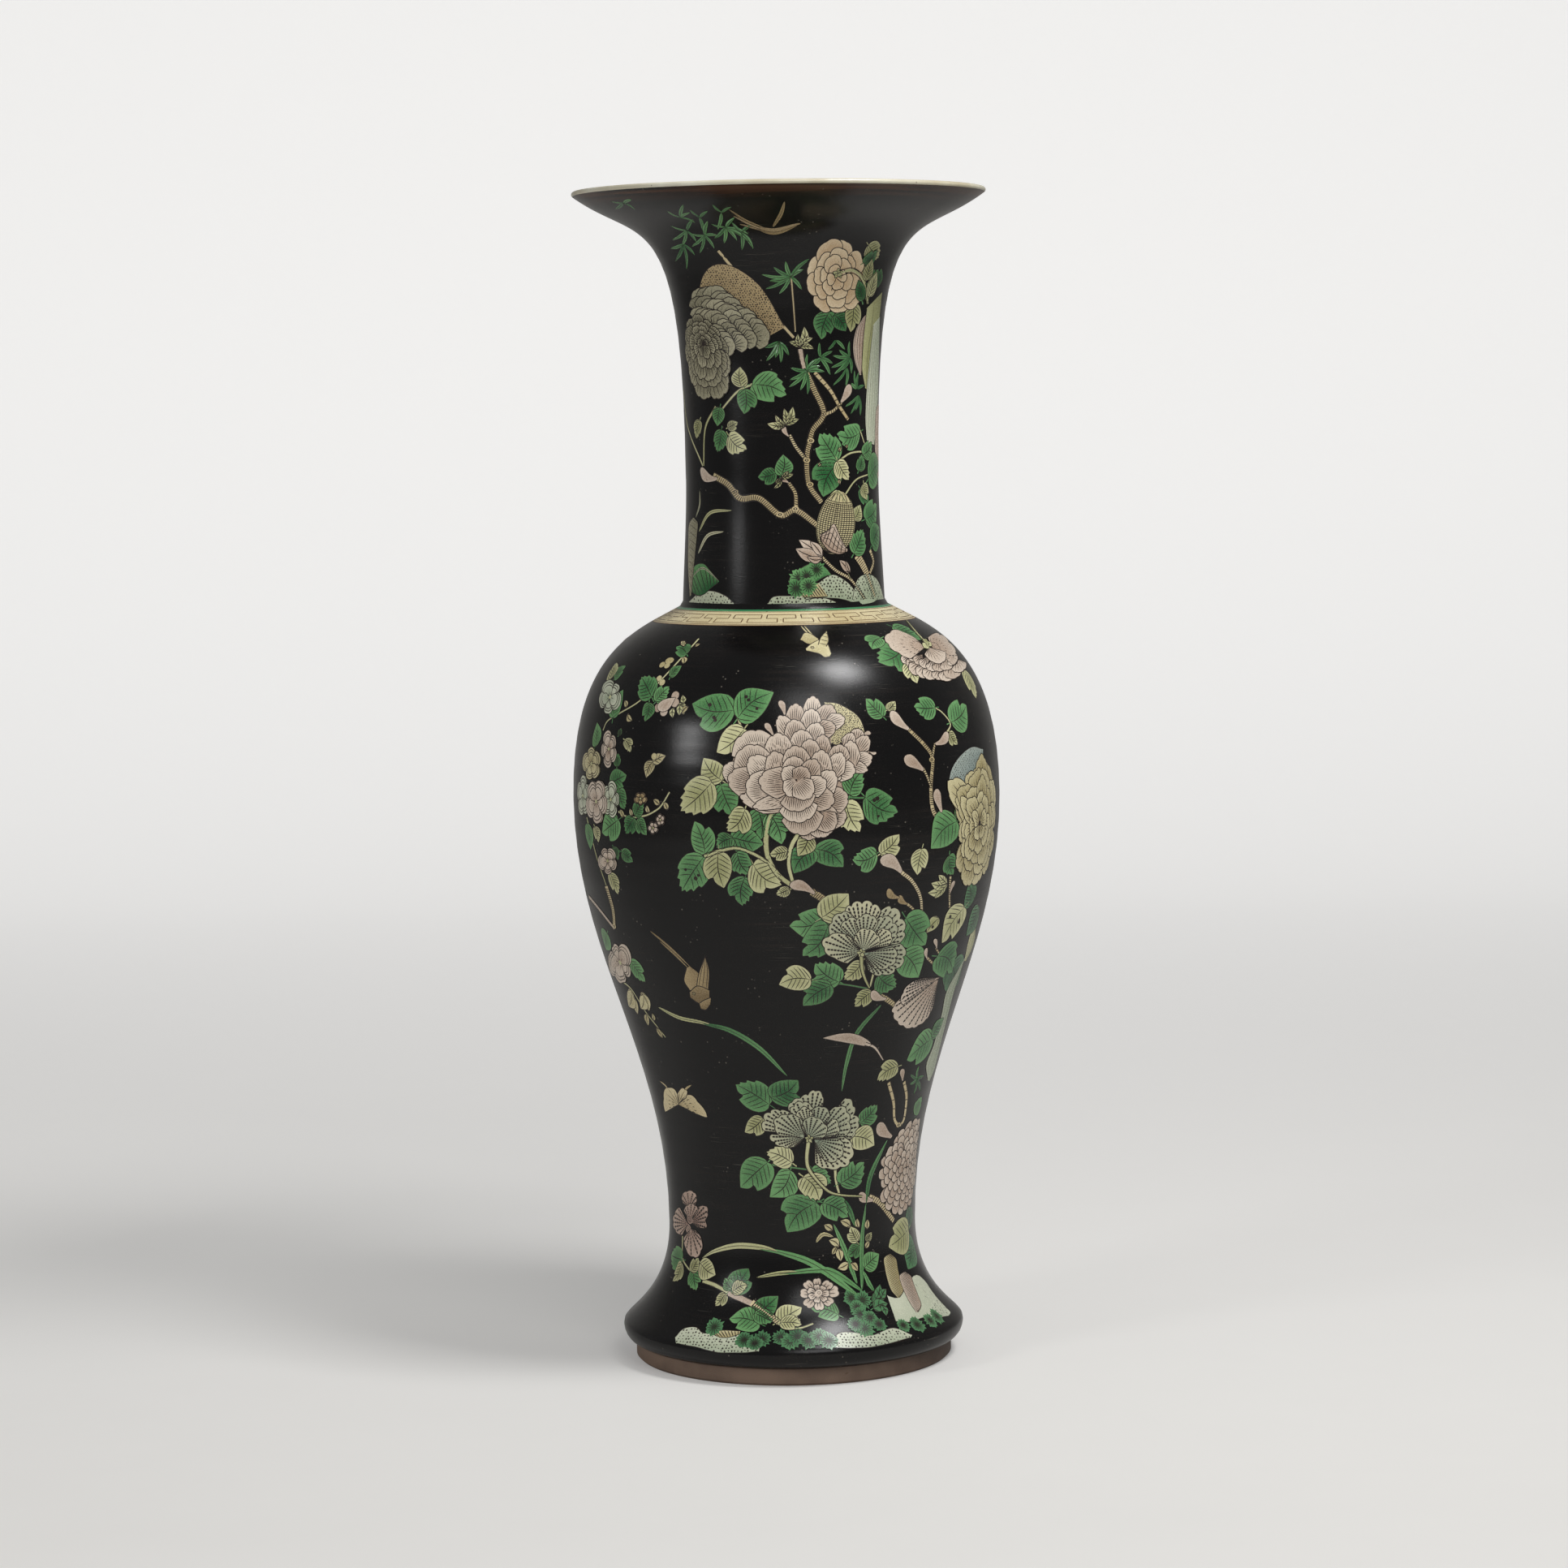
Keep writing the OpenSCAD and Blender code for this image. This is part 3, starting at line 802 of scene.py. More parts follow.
def flower(kind, centre, edge, rings, hatch=0, scallops=3, seed=1, heart="ink", ruffle=0.1, span=1.42,
           stop=0.94, nested=False):
    # Petals stand in rings round the centre, the outer ring lowest; nested rings share their angles. A
    # petal is a tongue: its edge swells across its angle and is cut into lobes by the size of a sine.
    rng = np.random.default_rng(seed)
    t0, s0 = (float(x[0]) for x in spotsAt([centre]))
    te, se = spotsAt(edge)
    ue, ve = (te - t0) * radiusAt((se + s0) / 2), se - s0
    turn = np.arctan2(ve, ue)
    order = np.argsort(turn)
    turn, reach = turn[order], np.hypot(ue, ve)[order]

    def reachAt(phi):
        return np.interp(phi, turn, reach, period=2 * math.pi)

    def place(phi, rho):
        s = s0 + rho * np.sin(phi)
        return t0 + rho * np.cos(phi) / radiusAt(s), s

    around = np.linspace(0, 2 * math.pi, 120)[None]
    lift = settle(*place(around, reachAt(around) * np.linspace(0.02, 1.04, 30)[:, None]),
                  len(rings) * 3.0)
    drift = 0.0 if nested else 1.0
    x = np.linspace(-1, 1, 8 * scallops + 1 if scallops > 1 else 15)
    for ring, (count, inner, outer) in enumerate(rings):
        number = np.arange(count)
        turned = number + drift * (0.5 * (ring % 2) + 0.3 * (rng.random(count) - 0.5))
        phi0 = 2 * math.pi * turned / count + 0.4 * ring * drift + seed * (1 - drift)
        tip = outer * (1 + 0.12 * drift * (rng.random(count) - 0.5))
        half = math.pi / count * span * (1 + 0.2 * drift * (rng.random(count) - 0.5))
        lobe = np.abs(np.sin(math.pi * scallops * (x + 1) / 2)) ** 0.55
        rise = np.maximum((1 - np.abs(x) ** 3) ** 0.6 * (1 - ruffle * (1 - lobe)), 0.04)

        def spread(column):
            # angle, inner and outer radius of every petal at these shares of its half width
            phi = phi0[:, None] + half[:, None] * column
            low = inner * reachAt(phi)
            return phi, low, low + (tip[:, None] * reachAt(phi) - low) * np.interp(column, x, rise)

        phi, low, high = spread(x)
        rows = np.linspace(0, 1, 5)
        rho = low[:, None, :] + (high - low)[:, None, :] * rows[None, :, None]
        theta, s = place(np.broadcast_to(phi[:, None, :], rho.shape), rho)
        over = lift + brush["step"] * np.where(number == count - 1, 2, number % 2)
        sheet(kind, theta, s, over, 0.15 + 0.75 * rows[:, None] ** 1.5)
        theta, s = place(phi, high)
        ink(theta, s, over + brush["step"] * 0.45, 0.8, thin=False)
        if hatch:
            start = 0.05 + 0.1 * rng.random((count, hatch, 1))
            end = stop - 0.1 * rng.random((count, hatch, 1))
            phi, low, high = (a[..., None] for a in spread(np.linspace(-0.8, 0.8, hatch)))
            rho = low + (high - low) * (start + (end - start) * np.linspace(0, 1, 4))
            theta, s = place(np.broadcast_to(phi, rho.shape), rho)
            ink(theta.reshape(-1, 4), s.reshape(-1, 4), np.repeat(over + brush["step"] * 0.45, hatch), 0.66)
        lift += brush["step"] * 3
    if heart:
        disc(heart, t0, s0, reach.mean() * rings[-1][1] + 0.4, lift, sides=12)


def insideOf(points, loop):
    # Which points lie inside a closed loop, by counting the edges crossed to the right.
    x, y = points[:, :1], points[:, 1:]
    a, b = loop, np.roll(loop, -1, 0)
    spans = (a[:, 1] > y) != (b[:, 1] > y)
    rise = np.where(a[:, 1] == b[:, 1], 1e-9, b[:, 1] - a[:, 1])
    cross = a[:, 0] + (y - a[:, 1]) / rise * (b[:, 0] - a[:, 0])
    return (spans & (x < cross)).sum(1) % 2 == 1


def patch(kind, top, bottom, dots=0.0, rows=17, columns=28, dotSize=0.5, rim=0.26, bands=0, runs=0,
          slant=0.0):
    # The ground between two given edges, both running the same way. Dots are given by their spacing in
    # photo pixels, bands cross from edge to edge and runs follow the edges.
    upper, lower = curveThrough(top, columns), curveThrough(bottom, columns)

    def place(share, column):
        at = np.linspace(0, 1, columns)
        share, column = np.broadcast_arrays(share, column)
        high, low = (np.stack([np.interp(column, at, edge[:, i]) for i in range(2)], -1)
                     for edge in (upper, lower))
        return gridSpots(high * (1 - share)[..., None] + low * share[..., None])

    share = np.linspace(0, 1, rows)[:, None]
    theta, s = place(share, np.linspace(0, 1, columns)[None])
    level = settle(theta, s)
    sheet(kind, theta, s, level, 0.8 - 0.6 * share)
    over = level + brush["step"] * 0.45
    along = np.linspace(0.01, 0.99, columns)[None]
    if rim:
        ink(*place(np.array([[0.005], [0.995]]), along), over, thin=False, half=rim)
    if runs:
        ink(*place(((np.arange(runs) + 0.6) / (runs + 0.2))[:, None], along), over, 0.6)
    if bands:
        cross = np.linspace(0.06, 0.94, 8)[None]
        column = ((np.arange(bands) + 0.5) / bands)[:, None] + slant * (cross - 0.5)
        ink(*place(cross, np.clip(column, 0.01, 0.99)), over, 0.6 if slant else 0.9)
    if dots:
        loop = np.concatenate([upper, lower[::-1]])
        low, high = loop.min(0), loop.max(0)
        gx, gy = np.meshgrid(np.arange(low[0], high[0], dots), np.arange(low[1], high[1], dots * 0.87))
        gx = gx + (np.arange(len(gy))[:, None] % 2) * dots / 2
        spots = np.stack([gx, gy], -1).reshape(-1, 2)
        spots = spots + (chance.random(spots.shape) - 0.5) * dots * 0.45
        nudges = ((1.2, 0), (-1.2, 0), (0, 1.2), (0, -1.2))
        kept = np.logical_and.reduce([insideOf(spots + nudge, loop) for nudge in nudges])
        if kept.any():
            radius = dotSize * (0.7 + 0.6 * chance.random(kept.sum()))
            disc("ink", *spotsAt(spots[kept]), radius, over, sides=6, dome=0.008)


def stem(kind, pixels, half, taper=0.5, hatched=0.0):
    # A painted stalk: a tapering ribbon, inked down both sides; hatched branches get short cross strokes.
    theta, s = pathOn(pixels)
    width = half * np.linspace(1, taper, len(theta))
    level = settle(theta, s, 2.0)
    ribbon(kind, theta, s, width, level, rootLift=-brush["sink"] / 2, tone=0.6, crown=0.02)
    sideT, sideS = beside(theta, s)
    for way in (-0.94, 0.94):
        ink(theta + sideT * width * way, s + sideS * width * way, level, 0.7, thin=False)
    if hatched:
        step = np.hypot(np.diff(theta) * radiusAt(s[1:]), np.diff(s)).sum()
        marks = np.linspace(1, len(theta) - 2, max(3, int(step / hatched))).astype(int)
        reach = np.linspace(-0.95, 0.75, 5)[None]
        slant = np.linspace(0, 1.0, 5)[None] * 0.5
        strokes = []
        for path, side in ((theta, sideT), (s, sideS)):
            across = (side * width)[marks][:, None] * reach
            ahead = np.gradient(path)[marks][:, None] * slant
            strokes.append(path[marks][:, None] + across + ahead)
        ink(*strokes, level + 0.02, 0.85)


def blade(kind, pixels, half, vein=True):
    # A grass blade: its width swells from nothing and runs out to nothing.
    theta, s = pathOn(pixels)
    t = np.linspace(0, 1, len(theta))
    width = np.maximum(half * np.sin(math.pi * t ** 0.8) ** 0.6, 0.05)
    level = settle(theta, s, 2.0)
    ribbon(kind, theta, s, width, level, rootLift=-brush["sink"] / 2, tone=0.35 + 0.4 * t, crown=0.02)
    if vein:
        ink(theta, s, level + 0.022, half=0.17)


def fan(kind, apex, arc, lobes, lines, dashes, ruffle=0.08, seed=1):
    # One petal seen from the side: straight runs from the apex out to a given arc, cut into lobes,
    # with lines along the runs, whole or broken into dashes.
    far = stepLengths(arc).sum()
    n, m = (33, 9) if far > 30 else (19, 5)
    x = np.linspace(0, 1, n)
    end = curveThrough(arc, n)
    lobe = np.abs(np.sin(math.pi * lobes * x)) ** 0.55
    reach = 1 - ruffle * (1 - lobe)

    def place(share, column):
        # share runs from apex to edge, column picks the run
        edge = np.stack([np.interp(column, x, end[:, i]) for i in range(2)], -1)
        far = (share * np.interp(column, x, reach))[..., None]
        return gridSpots(apex + (edge - apex) * far)

    rows = np.linspace(0.03, 1, m)
    gridShare, gridColumn = np.broadcast_arrays(rows[:, None], x[None])
    theta, s = place(gridShare, gridColumn)
    level = settle(theta, s)
    sheet(kind, theta, s, level, 0.25 + 0.6 * rows[:, None])
    over = level + brush["step"] * 0.45
    rim = np.r_[np.linspace(0.06, 1, 8), np.ones(n), np.linspace(1, 0.06, 8)]
    sides = np.r_[np.zeros(8), x, np.ones(8)]
    ink(*(a[None] for a in place(rim * 0.995, sides)), over, 0.8, thin=False)
    rng = np.random.default_rng(seed)
    column = (np.arange(lines) + 0.5) / lines
    if dashes:
        pitch = 0.8 / dashes
        start = 0.12 + pitch * (np.arange(dashes)[None] + 0.4 * rng.random((lines, 1)))
        share = start.reshape(-1, 1) + np.linspace(0, 0.84 * pitch, 3)[None]
        across = np.broadcast_to(np.repeat(column, dashes)[:, None], share.shape)
        theta, s = place(share, across)
        span = stepLengths(end).sum() * 0.47 / lines
        width = np.clip(0.26 * span * share[:, 1:2], 0.16, 0.6) * np.array([0.8, 1, 0.7])
        ribbon("ink", theta, s, width, over, crown=0.006, tone=0.3)
    else:
        share = np.linspace(0.1, 0.85, 4)[None] * np.ones((lines, 1))
        ink(*place(share, np.broadcast_to(column[:, None], share.shape)), over, 0.7)


def shells(kind, bases, tips, count, lobes=3, lines=5, spread=0.6):
    # A row of small fans that stand between two given curves, each a little out of line.
    stray = np.random.default_rng(count).normal(0, 0.07, (count, 2))
    for number, (a, b) in enumerate(zip(curveThrough(bases, count), curveThrough(tips, count))):
        run = (b - a) * (1 + stray[number, 0]) + (b - a)[::-1] * (1, -1) * stray[number, 1]
        b = a + run
        across = np.array([-run[1], run[0]]) * spread
        arc = [a + run * 0.5 - across, a + run * 0.9 - across * 0.62, b, a + run * 0.9 + across * 0.62,
               a + run * 0.5 + across]
        fan(kind, a, arc, lobes, lines, 0, 0.07, number)


def calyx(centre, size):
    # Five short sepals where a stalk meets the back of a flower.
    turns = np.radians(np.arange(5) * 72 + 18)
    rows = [(*centre, centre[0] + size * math.cos(a), centre[1] - size * math.sin(a)) for a in turns]
    leaves("lime", rows, "oval", veins=0)


def rosette(kind, box, seed, rings=2, count=5):
    # A blossom seen from above: round petals with one or two more outlines inside their edges.
    centre = ((box[0] + box[2]) / 2, (box[1] + box[3]) / 2)
    sizes = [(count, 0.06, 1 - 0.16 * number) for number in range(rings)]
    flower(kind, centre, circleOf(box), sizes, hatch=3, seed=seed, scallops=1, heart="lime", stop=0.45,
           nested=True)


def pod(kind, centre, halfWide, halfHigh, tilt, across=15, down=26):
    # A beaded pod: an egg under meridians and sagging hoops, which part above into a few ribs.
    turn = math.radians(tilt)

    def place(x, y):
        # x and y are shares of the half sizes, y up
        u, v = np.asarray(x) * halfWide, np.asarray(y) * halfHigh
        return gridSpots(np.stack([centre[0] + u * math.cos(turn) - v * math.sin(turn),
                                   centre[1] - u * math.sin(turn) - v * math.cos(turn)], -1))

    def egg(x, y):
        # x across the egg as a share of its width at that height
        y = np.clip(y, -0.99, 0.99)
        return place(x * np.sqrt(1 - y * y) * (1 - 0.12 * y),
                     np.broadcast_to(y, np.broadcast(x, y).shape))

    y = np.linspace(-0.99, 0.99, 25)[:, None]
    x = np.linspace(-1, 1, 17)[None]
    theta, s = egg(x, y)
    level = settle(theta, s, 2.0)
    sheet(kind, theta, s, level, 0.6)
    over = level + brush["step"] * 0.5
    y = np.linspace(-0.98, 0.62, 24)[None]
    ink(*egg(np.linspace(-0.97, 0.97, across)[:, None], y), over, 0.7, thin=False)
    x = np.linspace(-0.97, 0.97, 18)[None]
    ink(*egg(x, np.linspace(-0.9, 0.7, down)[:, None] - 0.06 * (1 - x * x)), over, 0.7, thin=False)
    ink(*egg(np.linspace(-0.95, 0.95, 7)[:, None], np.linspace(0.62, 0.98, 6)[None]), over, 0.8)


def rounds(pixels, steps, squash=1.0):
    # Discs one on another at each place, given as enamel and radius.
    for theta, s in zip(*spotsAt(pixels)):
        level = settle(theta, s, len(steps))
        for number, (kind, radius) in enumerate(steps):
            disc(kind, theta, s, radius, level + 0.016 * number, sides=14, dome=0.012, squash=squash)


def tufts(rows, kind="moss", radius=5.4):
    # Moss: a ragged green wash under needles that run out from its middle, every other edge point drawn in.
    a = np.linspace(0, 2 * math.pi, 14, endpoint=False)[:, None]
    points = np.where(np.arange(28) % 2, 0.84, 1.04)[None]
    for theta, s in zip(*spotsAt(rows)):
        size = radius * (0.85 + 0.3 * chance.random())
        far = np.linspace(0.06, 0.95, 5) * size * (0.7 + 0.3 * chance.random((14, 1)))
        turned = a + chance.random()
        u, v = theta + far * np.cos(turned) / radiusAt(s), s + far * np.sin(turned)
        level = settle(u, v, 2.5)
        around = np.linspace(0, 2 * math.pi, 28, endpoint=False)[None] + turned[0]
        reach = size * points * (0.85 + 0.3 * chance.random((1, 28)))
        edge = theta + reach * np.cos(around) / radiusAt(s), s + reach * np.sin(around)
        star(kind, (np.array([theta]), np.array([s])), edge, level, (0.3, 0.5, 0.7, 0.9))
        ink(u, v, level + 0.01, 0.85)


print("brush ready")

# The painting. All places are given as photo pixels, set on the vase through the camera.

stalks = {
    # Enamel, half width in millimetres, spacing of the cross strokes, then the points of the stalk.
    "neck": [
        ("bark", 1.3, 0, [(885, 309), (915, 345), (950, 385), (978, 416)]),
        ("bark", 0.7, 0, [(975, 342), (978, 380), (980, 409)]),
        ("pink", 1.8, 0, [(986, 430), (988, 442), (991, 454)]),
        ("bark", 2.3, 1.2, [(994, 460), (1003, 480), (1015, 509), (1002, 529), (998, 543), (994, 567),
                            (997, 597), (1012, 619)]),
        ("bark", 1.5, 4.0, [(1004, 459), (1023, 481), (1034, 500), (1045, 517)]),
        ("bark", 1.2, 1.2, [(1018, 510), (1027, 506), (1037, 496)]),
        ("bark", 1.3, 1.2, [(993, 566), (981, 551), (973, 536)]),
        ("lime", 1.0, 0, [(842, 480), (848, 528), (866, 574)]),
        ("lime", 1.0, 0, [(882, 501), (869, 528), (867, 574)]),
        ("bark", 2.4, 1.3, [(879, 586), (897, 597), (912, 614), (935, 614), (962, 635), (981, 629),
                            (1008, 648)]),
        ("bark", 1.4, 1.2, [(981, 625), (980, 608), (972, 595)]),
        ("lime", 0.8, 0, [(1033, 568), (1049, 558), (1067, 559), (1077, 581), (1081, 597)]),
        ("lime", 0.7, 0, [(1058, 525), (1063, 540), (1068, 557)]),
        ("lime", 0.8, 0, [(1041, 610), (1055, 591), (1075, 583)]),
        ("lime", 0.9, 0, [(928, 473), (914, 479), (905, 486), (893, 500), (884, 512)]),
        ("bark", 1.2, 1.4, [(1013, 687), (1030, 703), (1046, 712), (1056, 724), (1066, 739)]),
        ("lime", 0.5, 0, [(1043, 703), (1048, 713)]),
        ("bark", 3.2, 1.5, [(1056, 684), (1066, 702), (1078, 735)]),
        ("bark", 1.6, 1.6, [(1072, 678), (1076, 692), (1072, 706)]),
    ],
    "body": [
        ("lime", 0.8, 0, [(861, 787), (833, 818), (803, 850), (785, 866), (765, 878), (749, 888),
                          (743, 900)]),
        ("lime", 0.8, 0, [(762, 1000), (775, 1007), (795, 1005), (809, 998), (816, 991), (825, 976)]),
        ("lime", 0.9, 0, [(723, 1007), (735, 1055), (747, 1091)]),
        ("bark", 2.2, 1.4, [(747, 1092), (755, 1120), (757, 1143)]),
        ("pink", 1.6, 0, [(726, 1105), (739, 1121), (757, 1144)]),
        ("lime", 0.8, 0, [(765, 1208), (778, 1219), (795, 1246), (809, 1264), (820, 1278)]),
        ("lime", 1.0, 0, [(903, 873), (909, 884), (914, 899)]),
        ("leaf", 0.9, 0, [(1045, 982), (1056, 983), (1068, 983)]),
        ("bark", 2.6, 1.4, [(1000, 1099), (1016, 1109), (1034, 1124), (1048, 1146)]),
        ("bark", 1.7, 1.5, [(1158, 1013), (1149, 996), (1147, 968), (1149, 935), (1139, 918),
                            (1120, 899)]),
        ("bark", 1.1, 1.5, [(1149, 935), (1150, 926), (1152, 916)]),
        ("bark", 1.1, 1.5, [(1137, 946), (1142, 956), (1147, 970)]),
        ("bark", 1.1, 1.5, [(1161, 1000), (1160, 1006), (1158, 1013)]),
        ("lime", 0.8, 0, [(1165, 905), (1171, 892), (1161, 878), (1152, 872)]),
        ("bark", 1.4, 1.5, [(1111, 1075), (1124, 1086), (1134, 1105), (1136, 1130)]),
        ("bark", 1.0, 1.5, [(1118, 1114), (1125, 1120), (1132, 1130)]),
        ("bark", 1.2, 1.5, [(1171, 1080), (1170, 1100), (1170, 1118)]),
        ("bark", 1.0, 1.5, [(1142, 1180), (1152, 1188), (1158, 1178), (1153, 1168)]),
        ("lime", 0.9, 0, [(1076, 1200), (1074, 1208), (1072, 1216)]),
        ("leaf", 0.7, 0, [(1069, 1218), (1047, 1214), (1025, 1211), (996, 1208)]),
        ("bark", 2.2, 1.4, [(1080, 1226), (1092, 1231), (1107, 1242)]),
    ],
    "foot": [
        ("bark", 2.4, 1.4, [(1071, 1475), (1084, 1482), (1101, 1504)]),
        ("lime", 1.1, 0, [(1029, 1439), (1030, 1455), (1034, 1471)]),
        ("leaf", 0.8, 0, [(950, 1435), (972, 1438), (994, 1441)]),
        ("bark", 1.5, 5.0, [(1095, 1334), (1101, 1358), (1102, 1378), (1107, 1388)]),
        ("bark", 1.5, 5.0, [(1114, 1333), (1117, 1352), (1114, 1378), (1109, 1387)]),
        ("lime", 0.9, 0, [(841, 1523), (841, 1549), (846, 1560), (853, 1568)]),
        ("lime", 1.6, 0, [(866, 1578), (882, 1584), (898, 1593)]),
        ("pink", 2.4, 0, [(897, 1592), (911, 1599), (926, 1606)]),
        ("lime", 0.9, 0, [(973, 1638), (988, 1636), (1002, 1631)]),
    ],
    # These run over the leaves.
    "over": [
        ("bark", 2.4, 1.3, [(926, 1605), (942, 1616), (960, 1630)]),
        ("lime", 1.9, 0, [(962, 992), (949, 1006), (944, 1030), (946, 1055), (958, 1077), (974, 1090)]),
        ("lime", 1.5, 0, [(984, 1027), (975, 1043), (972, 1066), (977, 1088)]),
        ("lime", 1.3, 0, [(868, 1055), (885, 1049), (906, 1045), (926, 1051), (946, 1062)]),
    ],
}
knots = [(1016, 510), (999, 543), (994, 567), (998, 597), (961, 634), (906, 606), (980, 627), (757, 1141),
         (1107, 1386), (1148, 936), (1157, 1012)]
pinkBuds = [
    (1120, 899, 1097, 877), (1152, 917, 1168, 903), (1138, 949, 1114, 933), (1160, 1001, 1153, 972),
    (1111, 1075, 1085, 1057), (1170, 1101, 1176, 1085), (1004, 1101, 973, 1089), (884, 590, 863, 578),
    (972, 595, 960, 590), (972, 538, 965, 525), (1036, 496, 1048, 474), (1099, 1401, 1081, 1385),
    (1092, 1231, 1073, 1222), (1142, 1181, 1141, 1168), (1154, 1169, 1151, 1157),
    (1112, 1332, 1111, 1317), (1076, 1479, 1058, 1471),
]
yellowBuds = [
    (1026, 1516, 1015, 1509), (1048, 1511, 1035, 1504), (1058, 1513, 1056, 1501),
    (1068, 1515, 1069, 1502), (1066, 1538, 1071, 1529), (1034, 1536, 1021, 1528),
    (1031, 1536, 1025, 1546), (1033, 1538, 1036, 1554), (1046, 1556, 1032, 1563),
    (1048, 1556, 1057, 1566), (856, 797, 863, 793), (843, 818, 842, 809), (848, 870, 840, 880),
    (773, 880, 779, 888), (772, 872, 770, 863), (768, 1008, 764, 997), (779, 1006, 776, 996),
    (800, 1002, 797, 992), (813, 992, 805, 985), (823, 998, 818, 988), (797, 1249, 799, 1264),
    (806, 1258, 804, 1248), (809, 1266, 817, 1279), (775, 1222, 786, 1250), (778, 1220, 775, 1240),
    (790, 1222, 800, 1246), (793, 1226, 790, 1243), (1034, 557, 1036, 550), (1044, 553, 1041, 548),
    (1012, 571, 1008, 575), (1034, 590, 1035, 597),
]
greenLeaves = [
    (1022, 384, 1012, 418), (1028, 388, 1042, 408), (1062, 334, 1076, 318), (1072, 348, 1083, 332),
    (1064, 366, 1068, 348), (927, 474, 969, 486), (918, 480, 917, 510), (887, 502, 884, 525),
    (889, 530, 884, 557), (1031, 567, 1010, 534), (1032, 571, 1014, 612), (1059, 533, 1031, 535),
    (956, 583, 934, 588), (962, 586, 965, 560), (1052, 682, 1063, 652), (1063, 560, 1074, 545),
    (1070, 590, 1082, 572), (1060, 602, 1070, 622), (1066, 640, 1080, 622), (1074, 672, 1083, 650),
    (1058, 580, 1062, 560), (1112, 798, 1068, 822), (1085, 786, 1074, 800), (1100, 772, 1136, 788),
    (846, 806, 834, 797), (826, 834, 840, 820), (803, 859, 791, 834), (808, 864, 825, 846),
    (800, 866, 795, 889), (757, 836, 771, 820), (755, 884, 768, 850), (733, 920, 736, 890),
    (762, 906, 766, 897), (760, 944, 762, 928), (752, 966, 772, 955), (764, 972, 770, 997),
    (762, 1010, 742, 1026), (724, 1015, 728, 1047), (783, 1005, 793, 988), (781, 1008, 771, 1027),
    (788, 1008, 797, 1029), (756, 1044, 762, 1060), (766, 1050, 780, 1062), (748, 1150, 747, 1170),
    (774, 1180, 779, 1196), (777, 1184, 795, 1210), (888, 967, 904, 1005), (934, 998, 938, 1034),
    (948, 1003, 963, 1040), (900, 1031, 941, 1040), (903, 1033, 883, 1045), (908, 1050, 924, 1078),
    (869, 1052, 856, 1012), (918, 1081, 915, 1116), (1004, 1046, 1039, 1068), (1003, 1048, 978, 1076),
    (1047, 979, 1062, 950), (1080, 1052, 1050, 1059), (1088, 883, 1067, 861), (1152, 872, 1126, 871),
    (1172, 890, 1190, 869), (1179, 1012, 1144, 1048), (1176, 1004, 1184, 998), (1170, 1054, 1174, 1078),
    (1019, 1131, 973, 1141), (1020, 1140, 990, 1178), (1116, 1131, 1140, 1165), (1112, 1174, 1131, 1204),
    (1082, 1202, 1104, 1216), (1034, 1210, 1004, 1187), (1024, 1214, 990, 1239), (1155, 1178, 1181, 1217),
    (1149, 1279, 1118, 1306), (1148, 1278, 1163, 1254), (1128, 1374, 1136, 1350), (948, 1361, 906, 1336),
    (950, 1352, 984, 1331), (1060, 1384, 1081, 1361), (946, 1432, 913, 1463), (974, 1442, 949, 1475),
    (1000, 1440, 1024, 1458), (1035, 1458, 1065, 1432), (1006, 1482, 970, 1518), (1014, 1482, 1045, 1499),
    (1058, 1534, 1044, 1548), (1065, 1562, 1083, 1545), (841, 1552, 827, 1546), (855, 1563, 858, 1590),
    (900, 1590, 922, 1563), (902, 1588, 893, 1575), (936, 1631, 899, 1625), (930, 1622, 958, 1597),
    (930, 1618, 953, 1629), (1033, 1620, 1000, 1612),
]
holedLeaves = [(904, 875, 846, 866), (909, 885, 952, 853), (867, 1056, 840, 1099),
               (1066, 982, 1106, 1001)]
yellowLeaves = [
    (1052, 374, 1048, 409), (914, 477, 912, 452), (862, 518, 858, 541), (898, 537, 920, 554),
    (897, 527, 909, 520), (1032, 568, 1046, 591), (1064, 596, 1068, 616), (1052, 640, 1060, 622),
    (1070, 302, 1082, 318), (1063, 330, 1056, 346), (1118, 818, 1130, 842), (1188, 826, 1203, 861),
    (917, 898, 883, 927), (890, 962, 867, 934), (877, 964, 837, 1001), (918, 997, 896, 1024),
    (885, 1050, 892, 1094), (928, 1065, 963, 1090), (971, 1049, 948, 1053), (996, 1027, 983, 1055),
    (973, 1096, 956, 1102), (1042, 989, 1059, 1025), (1085, 1052, 1108, 1028), (1170, 902, 1180, 917),
    (1136, 1046, 1130, 1078), (1093, 875, 1103, 864), (750, 838, 760, 816), (770, 912, 777, 927),
    (733, 1019, 738, 1038), (752, 1076, 762, 1102), (836, 868, 843, 880), (1012, 1131, 1046, 1101),
    (1062, 1186, 1040, 1207), (1074, 1222, 1053, 1240), (999, 1207, 960, 1213), (1106, 1314, 1081, 1331),
    (940, 1378, 918, 1395), (1050, 1400, 1077, 1411), (976, 1433, 944, 1419), (990, 1450, 1009, 1479),
    (1119, 1514, 1088, 1541), (840, 1556, 829, 1579), (852, 1567, 861, 1550), (863, 1556, 882, 1571),
    (903, 1592, 921, 1583), (894, 1594, 881, 1609), (958, 1629, 987, 1611), (962, 1630, 988, 1632),
    (1056, 1530, 1048, 1511), (1068, 1530, 1074, 1518),
]


def drawStalks(*zones):
    for zone in zones:
        for kind, half, hatched, points in stalks[zone]:
            stem(kind, points, half, taper=0.8, hatched=hatched)


